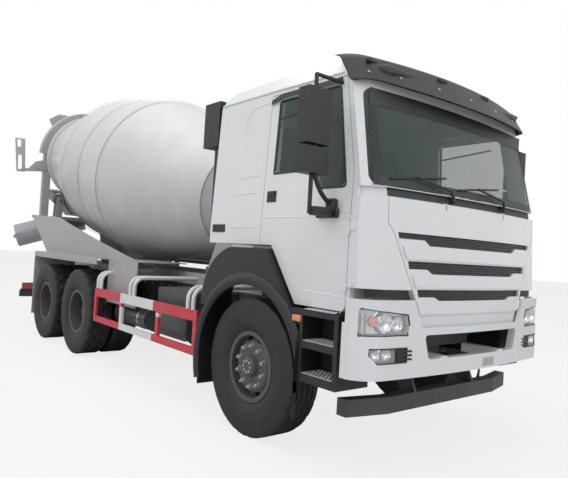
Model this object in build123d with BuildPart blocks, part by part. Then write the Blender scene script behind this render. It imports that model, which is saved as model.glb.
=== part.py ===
from build123d import *
import math
import os

# Concrete mixer truck, 6x4, cab over engine.
# +X is forward, +Y is left, +Z is up. The origin is on the ground under the middle of the truck.
# All sizes are millimetres.

# ---- Running gear -------------------------------------------------------------------------------
front_axle_x = 3404
wheelbase = 3825
tandem_spacing = 1350
mid_axle_x = front_axle_x - wheelbase
rear_axle_x = mid_axle_x - tandem_spacing
front_track = 2022
rear_track = 1830
twin_spacing = 350

tyre_radius = 562
tyre_width = 312
axle_z = tyre_radius
rim_radius = 265
rim_wall = 13
rim_width = 230
flange_height = 23
flange_wall = 9
disc_wall = 14
bead_gap = 0.3
pin_gap = 0.5
running_gap = 6

kingpin_offset = 161
kingpin_y = front_track / 2 - kingpin_offset
kingpin_radius = 23
spindle_radius = 45
rear_spindle_radius = 60

# ---- Ladder frame -------------------------------------------------------------------------------
rail_height = 300
rail_flange = 80
rail_wall = 10
rail_outer_y = 425
rail_inner_y = rail_outer_y - rail_flange
frame_bottom = 760
frame_top = frame_bottom + rail_height
frame_front_x = front_axle_x + 1000
frame_rear_x = rear_axle_x - 1775
frame_length = frame_front_x - frame_rear_x

# ---- Cab ----------------------------------------------------------------------------------------
cab_back_x = front_axle_x - 700
cab_half_width = 1147
cab_roof_half_width = 1095
cab_belt_z = 1750
cab_roof_z = 2960
cab_floor_z = 1560
footwell_z = 1130
screen_foot_z = 1950
screen_foot_x = front_axle_x + 1300
front_bow = 62
cab_wall = 50
panel_gap = 6
seat_gap = 0.3
tunnel_half_width = 420
hinge_x = front_axle_x + 1230
hinge_z = 1000

# ---- Mixer --------------------------------------------------------------------------------------
subframe_height = 140
subframe_top = frame_top + subframe_height
drum_angle = 10.5
drum_head_x = mid_axle_x + 2165
drum_head_z = 2064
drum_radius = 1170
drum_wall = 10


def straight(start, end):
    """Plane at the middle of a straight member, Z along the member, and the member's length."""
    start = Vector(*start)
    end = Vector(*end)
    return Plane(origin=(start + end) * 0.5, z_dir=end - start), (end - start).length


def wheel_plane(axle_x, wheel_y):
    """Plane through a wheel's axis: its X runs outwards to the right side, its Y runs upwards."""
    return Plane(origin=(axle_x, wheel_y, axle_z), x_dir=(0, -1, 0), z_dir=(-1, 0, 0))


def mirrored(part):
    """The same piece on the left side."""
    return mirror(part, about=Plane.XZ)


os.makedirs("parts", exist_ok=True)
pieces = {}

# ==== Chassis ====================================================================================

# ---- Ladder frame: two channel rails and their cross members ------------------------------------
cross_member_depth = 160
cross_member_length = 120
cross_member_wall = 8
cross_member_xs = [front_axle_x + 940] + [mid_axle_x + run for run in (1825, 625, -675, -2075)]
rail_middle_z = frame_bottom + rail_height / 2
coupling_plate_wall = 20
hinge_ear_wall = 30
hinge_ear_radius = 24
hinge_arm_drop = 90
hinge_pin_radius = 14
hinge_pin_reach = 42
coupling_pcd_x = 160
coupling_pcd_y = 100
coupling_hole_radius = 10.5

with BuildPart() as frame_rails:
    with BuildSketch(Plane.YZ.offset(frame_rear_x)):
        with Locations((rail_outer_y - rail_flange / 2, rail_middle_z)):
            Rectangle(rail_flange, rail_height)
        with Locations((rail_outer_y - rail_wall - rail_flange / 2, rail_middle_z)):
            Rectangle(rail_flange, rail_height - 2 * rail_wall, mode=Mode.SUBTRACT)
    extrude(amount=frame_length)
    mirror(about=Plane.XZ)
    with Locations([(x, 0, rail_middle_z) for x in cross_member_xs]):
        Box(cross_member_length, 2 * (rail_outer_y - rail_wall), cross_member_depth)
    with Locations([(x, 0, rail_middle_z) for x in cross_member_xs]):
        Box(
            cross_member_length - 2 * cross_member_wall,
            2 * rail_outer_y - 4 * rail_wall,
            cross_member_depth - 2 * cross_member_wall,
            mode=Mode.SUBTRACT,
        )
    with BuildSketch(Plane.YZ.offset(frame_rear_x)):
        with Locations((0, rail_middle_z)):
            Rectangle(2 * (rail_outer_y - rail_wall), rail_height - 2 * rail_wall)
            with GridLocations(coupling_pcd_x, coupling_pcd_y, 2, 2):
                Circle(coupling_hole_radius, mode=Mode.SUBTRACT)
    extrude(amount=coupling_plate_wall)
    for side in (-1, 1):
        with BuildSketch(Plane.XZ.offset(side * (rail_outer_y - hinge_ear_wall / 2))):
            with BuildLine():
                Polyline(
                    (frame_front_x - 60, frame_top),
                    (frame_front_x, frame_top),
                    (hinge_x, hinge_z + hinge_ear_radius),
                    (hinge_x, hinge_z - hinge_ear_radius),
                    (frame_front_x, hinge_z - hinge_arm_drop),
                    (frame_front_x - 60, hinge_z - hinge_arm_drop),
                    close=True,
                )
            make_face()
            with Locations((hinge_x, hinge_z)):
                Circle(hinge_ear_radius)
        extrude(amount=hinge_ear_wall / 2, both=True)
        with Locations(Location((hinge_x, side * (rail_outer_y + hinge_pin_reach / 2), hinge_z), (90, 0, 0))):
            Cylinder(hinge_pin_radius, hinge_pin_reach)
pieces["frame_rails"] = frame_rails.part

# ---- Engine, radiator and gearbox ---------------------------------------------------------------
engine_back_x = front_axle_x - 700
engine_front_x = front_axle_x + 800
engine_bottom = 620
engine_top = 1380
engine_half_width = 325
mount_length = 120
mount_height = 100
mount_runs = (-450, 450)
radiator_front_x = front_axle_x + 990
radiator_top = 1480
gearbox_back_x = front_axle_x - 1550
gearbox_half_width = 240
gearbox_bottom = 640
gearbox_top = 1100
shaft_z = 700
shaft_radius = 55

with BuildPart() as powertrain:
    with BuildSketch(Plane.XZ):
        with BuildLine():
            Polyline(
                (engine_back_x, engine_bottom + 120),
                (engine_back_x + 120, engine_bottom),
                (engine_front_x, engine_bottom),
                (engine_front_x, engine_top - 120),
                (engine_front_x - 120, engine_top),
                (engine_back_x, engine_top),
                close=True,
            )
        make_face()
    extrude(amount=engine_half_width, both=True)
    with Locations(*[(front_axle_x + run, 0, rail_middle_z) for run in mount_runs]):
        Box(mount_length, 2 * (rail_outer_y - rail_wall), mount_height)
    with BuildSketch(Plane.XZ):
        with BuildLine():
            Polyline(
                (engine_back_x, gearbox_bottom + 100),
                (engine_back_x, gearbox_top),
                (gearbox_back_x, gearbox_top - 160),
                (gearbox_back_x, gearbox_bottom),
                (gearbox_back_x + 500, gearbox_bottom),
                close=True,
            )
        make_face()
    extrude(amount=gearbox_half_width, both=True)
    with Locations(((engine_front_x + radiator_front_x) / 2, 0, (frame_top + radiator_top) / 2)):
        Box(radiator_front_x - engine_front_x, 2 * rail_inner_y, radiator_top - frame_top)
pieces["powertrain"] = powertrain.part

# ---- Axles, leaf springs and propeller shaft ----------------------------------------------------
beam_width = 90
beam_depth = 100
beam_bottom = 380
boss_radius = 55
boss_bottom = 490
boss_top = 634
front_spring_y = 385
spring_width = 85
spring_seat_z = beam_bottom + beam_depth
spring_half_length = 800
rear_spring_y = 500
housing_radius = 78
banjo_radius = 205
housing_end_y = 578
spindle_end_y = 1050

with BuildPart() as axles:
    with BuildSketch(Plane.YZ.offset(front_axle_x)):
        with BuildLine():
            Polyline(
                (0, beam_bottom),
                (520, beam_bottom),
                (680, boss_bottom + 20),
                (kingpin_y, boss_bottom + 20),
                (kingpin_y, boss_top - 20),
                (660, boss_top - 20),
                (500, beam_bottom + beam_depth),
                (0, beam_bottom + beam_depth),
                close=True,
            )
        make_face()
    extrude(amount=beam_width / 2, both=True)
    with Locations((front_axle_x, kingpin_y, (boss_bottom + boss_top) / 2)):
        Cylinder(boss_radius, boss_top - boss_bottom)
        Cylinder(kingpin_radius + pin_gap, boss_top - boss_bottom, mode=Mode.SUBTRACT)
    with BuildSketch(Plane.XZ.offset(-front_spring_y)):
        with BuildLine():
            spring_end_z = frame_bottom - 30
            Polyline(
                (front_axle_x - spring_half_length, spring_end_z - 15),
                (front_axle_x - 100, spring_seat_z),
                (front_axle_x + 100, spring_seat_z),
                (front_axle_x + spring_half_length, spring_end_z - 15),
                (front_axle_x + spring_half_length, frame_bottom),
                (front_axle_x + spring_half_length - 60, frame_bottom),
                (front_axle_x + spring_half_length - 60, spring_end_z),
                (front_axle_x + 100, spring_seat_z + 110),
                (front_axle_x - 100, spring_seat_z + 110),
                (front_axle_x - spring_half_length + 60, spring_end_z),
                (front_axle_x - spring_half_length + 60, frame_bottom),
                (front_axle_x - spring_half_length, frame_bottom),
                close=True,
            )
        make_face()
    extrude(amount=spring_width / 2, both=True)
    for axle_x in (mid_axle_x, rear_axle_x):
        with Locations(Location((axle_x, housing_end_y / 2, axle_z), (90, 0, 0))):
            Cylinder(housing_radius, housing_end_y)
        with Locations(Location((axle_x, (housing_end_y + spindle_end_y) / 2, axle_z), (90, 0, 0))):
            Cylinder(rear_spindle_radius, spindle_end_y - housing_end_y)
        with Locations(Location((axle_x, 75, axle_z), (90, 0, 0))):
            Cylinder(banjo_radius, 150)
    trunnion_x = (mid_axle_x + rear_axle_x) / 2
    with Locations(Location((trunnion_x, 280, 640), (90, 0, 0))):
        Cylinder(60, 560)
    with Locations((trunnion_x, rail_outer_y - 50, 700)):
        Box(240, 60, 120)
    with BuildSketch(Plane.XZ.offset(-rear_spring_y)):
        with BuildLine():
            Polyline(
                (mid_axle_x + 60, axle_z + housing_radius - 10),
                (mid_axle_x + 60, axle_z + housing_radius + 40),
                (trunnion_x + 120, 850),
                (trunnion_x - 120, 850),
                (rear_axle_x - 60, axle_z + housing_radius + 40),
                (rear_axle_x - 60, axle_z + housing_radius - 10),
                (rear_axle_x + 60, axle_z + housing_radius - 10),
                (trunnion_x - 120, 690),
                (trunnion_x + 120, 690),
                (mid_axle_x - 60, axle_z + housing_radius - 10),
                close=True,
            )
        make_face()
    extrude(amount=spring_width / 2, both=True)
    mirror(about=Plane.XZ)
    with Locations(Location(((gearbox_back_x + mid_axle_x + 150) / 2, 0, shaft_z), (0, 90, 0))):
        Cylinder(shaft_radius, gearbox_back_x - mid_axle_x - 150)
    with Locations(Location(((mid_axle_x + rear_axle_x) / 2, 0, shaft_z), (0, 90, 0))):
        Cylinder(shaft_radius, tandem_spacing)
pieces["axles"] = axles.part

# ---- Front bumper -------------------------------------------------------------------------------
bumper_front_x = front_axle_x + 1350
bumper_wall = 25
bumper_bracket_height = 70
bumper_bottom = 705
bumper_top = 1232
bumper_wing_top = 1070
bumper_half_width = 1200
bumper_bulge = 60
bumper_back_x = front_axle_x + 1080
dip_top_half = 742
dip_foot_half = 655
dip_foot_z = 1040
mouth_top_z = 990
mouth_top_half = 625
mouth_foot_z = 820
mouth_foot_half = 575
mouth_ledge = 60
corner_radius = 25


def bumper_plan(inset):
    """Bumper outline from above, moved inwards by inset."""
    half = bumper_half_width - inset
    front = bumper_front_x - inset
    corner = front - bumper_bulge
    with BuildSketch() as plan:
        with BuildLine():
            ThreePointArc((corner, 200 - half), (front, 0), (corner, half - 200))
            ThreePointArc((corner, half - 200), (corner - 50, half - 70), (corner - 140, half))
            Polyline(
                (corner - 140, half),
                (bumper_back_x, half),
                (bumper_back_x, -half),
                (corner - 140, -half),
            )
            ThreePointArc((corner - 140, -half), (corner - 50, 70 - half), (corner, 200 - half))
        make_face()
    return plan.sketch


def head_lamp_outline(shrink):
    """Both head lamps seen from the front."""
    with BuildSketch(Plane.YZ.offset(bumper_back_x + 80)) as outline:
        for side in (-1, 1):
            with BuildLine():
                Polyline(
                    (side * 800, 996),
                    (side * 785, 1065),
                    (side * 805, 1134),
                    (side * 1165, 1176),
                    (side * 1172, 1150),
                    (side * 1172, 992),
                    close=True,
                )
            make_face()
        fillet(outline.vertices(), corner_radius / 2)
        offset(amount=-shrink)
    return outline.sketch


def fog_lamp_outline(shrink):
    """Both fog lamps seen from the front."""
    with BuildSketch(Plane.YZ.offset(bumper_back_x + 80)) as outline:
        for side in (-1, 1):
            with BuildLine():
                Polyline(
                    (side * 800, 815),
                    (side * 800, 912),
                    (side * 1115, 912),
                    (side * 1118, 870),
                    (side * 1060, 815),
                    close=True,
                )
            make_face()
        fillet(outline.vertices(), corner_radius / 2)
        offset(amount=-shrink)
    return outline.sketch


bumper_outer = bumper_plan(0)
bumper_inner = bumper_plan(bumper_wall)
lamp_openings = [head_lamp_outline(0), fog_lamp_outline(0)]
with BuildPart() as front_bumper:
    with BuildSketch(Plane.XY.offset(bumper_bottom)):
        add(bumper_outer)
        add(bumper_inner, mode=Mode.SUBTRACT)
    extrude(amount=bumper_top - bumper_bottom)
    with Locations((bumper_back_x, 0, bumper_top)):
        Box(50, 3000, 2 * (bumper_top - bumper_wing_top), mode=Mode.SUBTRACT)
    with BuildSketch(Plane.XY.offset(mouth_foot_z - bumper_wall)):
        add(bumper_outer)
        add(bumper_plan(mouth_ledge), mode=Mode.SUBTRACT)
        with Locations((bumper_back_x, 0)):
            Rectangle(1000, 2 * (mouth_top_half + bumper_wall), mode=Mode.INTERSECT)
    extrude(amount=mouth_top_z - mouth_foot_z + 2 * bumper_wall)
    with BuildSketch(Plane.YZ.offset(bumper_back_x)):
        with BuildLine():
            Polyline(
                (-dip_top_half, bumper_top),
                (-dip_foot_half, dip_foot_z),
                (dip_foot_half, dip_foot_z),
                (dip_top_half, bumper_top),
                close=True,
            )
        make_face()
        with BuildSketch(mode=Mode.PRIVATE) as mouth:
            with BuildLine():
                Polyline(
                    (-mouth_foot_half, mouth_foot_z),
                    (-mouth_top_half, mouth_top_z),
                    (mouth_top_half, mouth_top_z),
                    (mouth_foot_half, mouth_foot_z),
                    close=True,
                )
            make_face()
            fillet(mouth.vertices(), corner_radius)
        add(mouth.sketch)
    extrude(amount=600, mode=Mode.SUBTRACT)
    for opening in lamp_openings:
        extrude(to_extrude=opening, amount=600, mode=Mode.SUBTRACT)
    bracket_front_x = bumper_front_x - bumper_wall
    for side in (-1, 1):
        with Locations((
            (frame_front_x + bracket_front_x) / 2,
            side * (rail_outer_y - rail_flange / 2),
            frame_bottom + bumper_bracket_height / 2,
        )):
            Box(bracket_front_x - frame_front_x, rail_flange, bumper_bracket_height)
pieces["front_bumper"] = front_bumper.part

# ---- Head lamps, fog lamps and rear lamps -------------------------------------------------------
lamp_gap = 0.3
lamp_depth = 60
lens_setback = 4
rear_lamp_y = 900
rear_bar_top = 570
rear_shelf_wall = 20
rear_lamp_height = 110

lens_face = bumper_plan(lens_setback)
lens_back = bumper_plan(lamp_depth)
lens_outlines = [head_lamp_outline(lamp_gap), fog_lamp_outline(lamp_gap)]
with BuildPart() as lamps:
    with BuildSketch(Plane.XY.offset(bumper_bottom)):
        add(lens_face)
        add(lens_back, mode=Mode.SUBTRACT)
    extrude(amount=bumper_top - bumper_bottom)
    with BuildPart(mode=Mode.INTERSECT):
        for outline in lens_outlines:
            extrude(to_extrude=outline, amount=600)
    for lamp_side in (-rear_lamp_y, rear_lamp_y):
        with Locations((frame_rear_x - 45, lamp_side, rear_bar_top + rear_shelf_wall + rear_lamp_height / 2)):
            Box(50, 380, rear_lamp_height)
pieces["lamps"] = lamps.part

# ---- Front and rear under-run bars --------------------------------------------------------------
bar_front_x = front_axle_x + 1100
bar_depth = 90
bar_bottom = 400
bar_top = 520
bar_half_length = 1045
bar_bend_y = 700
bar_end_sweep = 85
rear_bar_bottom = 450
rear_bar_half_length = 1120

with BuildPart() as underrun_bars:
    with BuildSketch(Plane.XY.offset(bar_bottom)):
        with BuildLine():
            Polyline(
                (bar_front_x, 0),
                (bar_front_x, bar_bend_y),
                (bar_front_x - bar_end_sweep, bar_half_length),
                (bar_front_x - bar_end_sweep - bar_depth, bar_half_length),
                (bar_front_x - bar_depth, bar_bend_y),
                (bar_front_x - bar_depth, 0),
                close=True,
            )
        make_face()
    extrude(amount=bar_top - bar_bottom)
    with BuildSketch(Plane.XZ.offset(-(rail_outer_y - rail_flange / 2))):
        with BuildLine():
            Polyline(
                (frame_front_x - 180, frame_bottom),
                (frame_front_x, frame_bottom),
                (bar_front_x - 5, bar_top),
                (bar_front_x - 5, bar_bottom + 5),
                (bar_front_x - bar_depth, bar_bottom + 5),
                close=True,
            )
        make_face()
    extrude(amount=12, both=True)
    with Locations((frame_rear_x - 60, rear_bar_half_length / 2, (rear_bar_bottom + rear_bar_top) / 2)):
        Box(60, rear_bar_half_length, rear_bar_top - rear_bar_bottom)
    with BuildSketch(Plane.XZ.offset(-(rail_outer_y - rail_flange / 2))):
        with BuildLine():
            Polyline(
                (frame_rear_x - 90, rear_bar_bottom),
                (frame_rear_x - 30, rear_bar_bottom),
                (frame_rear_x + 160, frame_bottom - 40),
                (frame_rear_x + 160, frame_bottom),
                (frame_rear_x, frame_bottom),
                (frame_rear_x - 90, rear_bar_top),
                close=True,
            )
        make_face()
    extrude(amount=12, both=True)
    with Locations((frame_rear_x - 50, rear_lamp_y, rear_bar_top + rear_shelf_wall / 2)):
        Box(80, 400, rear_shelf_wall)
    mirror(about=Plane.XZ)
pieces["underrun_bars"] = underrun_bars.part

# ---- Front fenders with steps and mud flaps -----------------------------------------------------
fender_inner_y = 880
fender_outer_y = 1205
fender_wall = 18
fender_back_x = front_axle_x - 700
fender_top_z = 1530
arch_radius = 675
step_back_x = front_axle_x + 665
step_front_x = front_axle_x + 1052
step_bottom = 600
step_top = 1108
tread_depth = 200
flap_bottom = 280
flap_wall = 12

with BuildPart() as front_fenders:
    with BuildSketch(Plane.XZ.offset(fender_inner_y)):
        with BuildLine():
            Line((fender_back_x, 1000), (fender_back_x, 1050))
            ThreePointArc((fender_back_x, 1050), (fender_back_x + 150, 1380), (fender_back_x + 450, fender_top_z))
            Polyline(
                (fender_back_x + 450, fender_top_z),
                (front_axle_x + 215, fender_top_z),
                (front_axle_x + 520, step_top),
                (step_front_x, step_top),
                (step_front_x, step_bottom),
                (step_back_x, step_bottom),
                (step_back_x, step_top - fender_wall),
                (front_axle_x + 505, step_top - fender_wall),
                (front_axle_x + 205, fender_top_z - fender_wall),
                (fender_back_x + 450, fender_top_z - fender_wall),
            )
            ThreePointArc(
                (fender_back_x + 450, fender_top_z - fender_wall),
                (fender_back_x + 165, 1366),
                (fender_back_x + fender_wall, 1050),
            )
            Polyline((fender_back_x + fender_wall, 1050), (fender_back_x + fender_wall, 1000), (fender_back_x, 1000))
        make_face()
    extrude(amount=fender_outer_y - fender_inner_y)
    with BuildSketch(Plane.XZ.offset(fender_outer_y - fender_wall)):
        with BuildLine():
            Line((fender_back_x, 1000), (fender_back_x, 1050))
            ThreePointArc((fender_back_x, 1050), (fender_back_x + 150, 1380), (fender_back_x + 450, fender_top_z))
            Polyline(
                (fender_back_x + 450, fender_top_z),
                (front_axle_x + 215, fender_top_z),
                (front_axle_x + 520, step_top),
                (step_front_x, step_top),
                (step_front_x, step_bottom),
                (step_back_x, step_bottom),
                (step_back_x, 1000),
                (fender_back_x, 1000),
            )
        make_face()
        with Locations((front_axle_x, axle_z)):
            Circle(arch_radius, mode=Mode.SUBTRACT)
    extrude(amount=fender_wall)
    for tread_z in (step_bottom + 60, step_bottom + 290):
        with Locations(((step_back_x + step_front_x) / 2, -fender_outer_y, tread_z + 90)):
            Box(step_front_x - step_back_x - 70, 2 * tread_depth, 180, mode=Mode.SUBTRACT)
    with Locations((fender_back_x + flap_wall / 2, -(fender_inner_y + fender_outer_y) / 2, (flap_bottom + 1000) / 2)):
        Box(flap_wall, fender_outer_y - fender_inner_y - 20, 1000 - flap_bottom)
    with Locations((fender_back_x + 10, -(rail_outer_y + fender_inner_y) / 2, 980)):
        Box(20, fender_inner_y - rail_outer_y, 60)
    with Locations((fender_back_x + 10, -(fender_inner_y + 30), 1000)):
        Box(20, 60, 60)
    with Locations((front_axle_x + 850, -(rail_outer_y + fender_inner_y) / 2, 900)):
        Box(60, fender_inner_y - rail_outer_y, 60)
    mirror(about=Plane.XZ)
pieces["front_fenders"] = front_fenders.part

# ---- Side guards --------------------------------------------------------------------------------
guard_front_x = front_axle_x - 730
guard_rear_x = mid_axle_x + 625
guard_y = 1205
guard_wall = 30
skirt_y = 1060
guard_bars = [(830, 930), (520, 590)]
guard_post_xs = [guard_front_x - 30, front_axle_x - 1500, mid_axle_x + 1425, guard_rear_x + 30]
arm_starts = [
    (front_axle_x - 870, rail_outer_y),
    (mid_axle_x + 1675, rail_outer_y),
    (mid_axle_x + 735, skirt_y + 12),
]
arm_pair_spacing = 96
arm_radius = 21
arm_places = [
    (arm_x + shift, arm_y)
    for arm_x, arm_y in arm_starts
    for shift in (-arm_pair_spacing / 2, arm_pair_spacing / 2)
]
arm_bend = 110
arm_z = 1130
guard_length = guard_front_x - guard_rear_x

with BuildPart() as side_guards:
    for bar_low, bar_high in guard_bars:
        with Locations(((guard_front_x + guard_rear_x) / 2, -guard_y, (bar_low + bar_high) / 2)):
            Box(guard_length, guard_wall, bar_high - bar_low)
    with Locations([(x, -guard_y, (guard_bars[0][1] + guard_bars[1][0]) / 2) for x in guard_post_xs]):
        Box(60, guard_wall, guard_bars[0][1] - guard_bars[1][0])
    for arm_x, arm_y in arm_places:
        with BuildLine() as arm_path:
            FilletPolyline(
                (arm_x, -arm_y, arm_z),
                (arm_x, -guard_y, arm_z),
                (arm_x, -guard_y, guard_bars[0][1]),
                radius=arm_bend,
            )
        with BuildSketch(Plane(origin=(arm_x, -arm_y, arm_z), z_dir=(0, -1, 0))):
            Circle(arm_radius)
        sweep(path=arm_path.line)
    mirror(about=Plane.XZ)
pieces["side_guards"] = side_guards.part

# ---- Battery box, air tanks and fuel tank -------------------------------------------------------
box_front_x = front_axle_x - 1200
box_rear_x = front_axle_x - 1850
box_bottom = 560
box_top = 1060
box_outer_y = 1040

with BuildPart() as battery_box:
    with BuildSketch(Plane.XZ.offset(rail_outer_y)):
        with Locations(((box_front_x + box_rear_x) / 2, (box_bottom + box_top) / 2)):
            RectangleRounded(box_front_x - box_rear_x, box_top - box_bottom, 25)
    extrude(amount=box_outer_y - rail_outer_y)
pieces["battery_box"] = battery_box.part

air_tank_radius = 125
air_tank_front_x = mid_axle_x + 1595
air_tank_rear_x = mid_axle_x + 765
air_tank_ys = (600, 880)
air_tank_z = 640
fuel_front_x = front_axle_x - 1050
fuel_rear_x = mid_axle_x + 1575
fuel_outer_y = 1080
fuel_bottom = 480
fuel_top = 1050

with BuildPart() as side_tanks:
    with BuildSketch(Plane.YZ.offset(air_tank_rear_x)):
        with Locations([(-y, air_tank_z) for y in air_tank_ys]):
            Circle(air_tank_radius)
    extrude(amount=air_tank_front_x - air_tank_rear_x)
    with BuildSketch(Plane.YZ.offset(air_tank_rear_x + 150)):
        with Locations((-(rail_outer_y + air_tank_ys[1]) / 2, air_tank_z + air_tank_radius + 20)):
            Rectangle(air_tank_ys[1] - rail_outer_y, 60)
    extrude(amount=60)
    with BuildSketch(Plane.YZ.offset(air_tank_front_x - 210)):
        with Locations((-(rail_outer_y + air_tank_ys[1]) / 2, air_tank_z + air_tank_radius + 20)):
            Rectangle(air_tank_ys[1] - rail_outer_y, 60)
    extrude(amount=60)
    with BuildSketch(Plane.YZ.offset(fuel_rear_x)):
        with Locations(((rail_outer_y + 60 + fuel_outer_y) / 2, (fuel_bottom + fuel_top) / 2)):
            RectangleRounded(fuel_outer_y - rail_outer_y - 60, fuel_top - fuel_bottom, 90)
    extrude(amount=fuel_front_x - fuel_rear_x)
    for strap_x in (fuel_rear_x + 250, fuel_front_x - 250):
        with Locations((strap_x, rail_outer_y + 50, frame_bottom + 120)):
            Box(80, 100, 200)
pieces["side_tanks"] = side_tanks.part

# ---- Rear fenders and skirts --------------------------------------------------------------------
rear_fender_front_x = mid_axle_x + 640
rear_fender_rear_x = rear_axle_x - 640
rear_fender_inner_y = 590
rear_fender_outer_y = 1235
rear_fender_bottom = 1290
rear_fender_wall = 12
skirt_front_x = mid_axle_x + 1475
skirt_bottom = 760
rear_flap_bottom = 300

with BuildPart() as rear_fenders:
    fender_length = rear_fender_front_x - rear_fender_rear_x
    with BuildSketch(Plane.YZ.offset(rear_fender_rear_x)):
        with BuildLine():
            Polyline(
                (-rear_fender_inner_y, rear_fender_bottom),
                (-rear_fender_inner_y, rear_fender_bottom + rear_fender_wall),
                (-rear_fender_outer_y, rear_fender_bottom + rear_fender_wall),
                (-rear_fender_outer_y, rear_fender_bottom - 70),
                (rear_fender_wall - rear_fender_outer_y, rear_fender_bottom - 70),
                (rear_fender_wall - rear_fender_outer_y, rear_fender_bottom),
                close=True,
            )
        make_face()
    extrude(amount=fender_length)
    flap_middle_y = (rear_fender_inner_y + rear_fender_outer_y) / 2
    with Locations((rear_fender_rear_x + rear_fender_wall / 2, -flap_middle_y, (rear_flap_bottom + rear_fender_bottom) / 2)):
        Box(rear_fender_wall, rear_fender_outer_y - rear_fender_inner_y, rear_fender_bottom - rear_flap_bottom)
    skirt_middle_x = (skirt_front_x + rear_fender_front_x) / 2
    skirt_length = skirt_front_x - rear_fender_front_x
    with Locations((skirt_middle_x, -skirt_y - rear_fender_wall / 2, (skirt_bottom + rear_fender_bottom) / 2)):
        Box(skirt_length, rear_fender_wall, rear_fender_bottom - skirt_bottom)
    with Locations((skirt_middle_x, -(rail_outer_y + skirt_y + rear_fender_wall) / 2, rear_fender_bottom + rear_fender_wall / 2)):
        Box(skirt_length, skirt_y + rear_fender_wall - rail_outer_y, rear_fender_wall)
    for bracket_x in (rear_fender_front_x - 60, (mid_axle_x + rear_axle_x) / 2, rear_fender_rear_x + 60):
        with Locations((bracket_x, -(rail_outer_y + rear_fender_inner_y + 60) / 2, 1210)):
            Box(60, rear_fender_inner_y + 60 - rail_outer_y, 60)
        with Locations((bracket_x, -(rear_fender_inner_y + 30), 1245)):
            Box(60, 60, 100)
    mirror(about=Plane.XZ)
pieces["rear_fenders"] = rear_fenders.part

# ---- Drum axis ----------------------------------------------------------------------------------
drum_slope = math.radians(drum_angle)
drum_plane = Plane(
    origin=(drum_head_x, 0, drum_head_z),
    x_dir=(math.sin(drum_slope), 0, math.cos(drum_slope)),
    z_dir=(-math.cos(drum_slope), 0, math.sin(drum_slope)),
)
drum_axis = Axis(drum_plane.origin, drum_plane.z_dir)
head_seam = (160, 620)
front_cone_end = 1990
barrel_end = 3450
ring_middle = 5360
ring_width = 90
ring_radius = 835
ring_inner_radius = 700
mouth_end = 5760
mouth_radius = 590
cone_end_radius = 785


def on_drum(run, radius=0.0):
    """Point at a run along the drum's axis and a radius above it."""
    return drum_plane.from_local_coords(Vector(radius, 0, run))


def roller_plane(sign):
    """Plane at a support roller's middle, Z along the drum's axis, Y downwards."""
    spread = math.radians(roller_angle)
    reach = ring_radius + roller_gap + roller_radius
    middle = drum_plane.from_local_coords(Vector(-reach * math.cos(spread), 0, ring_middle))
    return Plane(
        origin=middle + Vector(0, sign * reach * math.sin(spread), 0),
        x_dir=(0, 1, 0),
        z_dir=drum_plane.z_dir,
    )


# ---- Mixer frame: sub-frame, pedestals and wing plates ------------------------------------------
subframe_front_x = front_axle_x - 800
pedestal_wall = 12
front_pedestal_half_width = 385
front_pedestal_front_x = mid_axle_x + 2575
rear_pedestal_front_x = rear_fender_rear_x - 20
rear_pedestal_top_z = 1920
rear_pedestal_half_width = 700
post_radius = 45
post_bottom = subframe_top + 60
post_top = 1555
funnel_outlet_x = mid_axle_x - 3735
wing_y = 1050
wing_wall = 10
wing_bottom_z = rear_fender_bottom + rear_fender_wall
roller_radius = 120
roller_width = 110
roller_angle = 33
roller_gap = 0.3
roller_shaft_radius = 30
roller_bracket_wall = 25
drive_base = on_drum(-160, -240)

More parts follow.
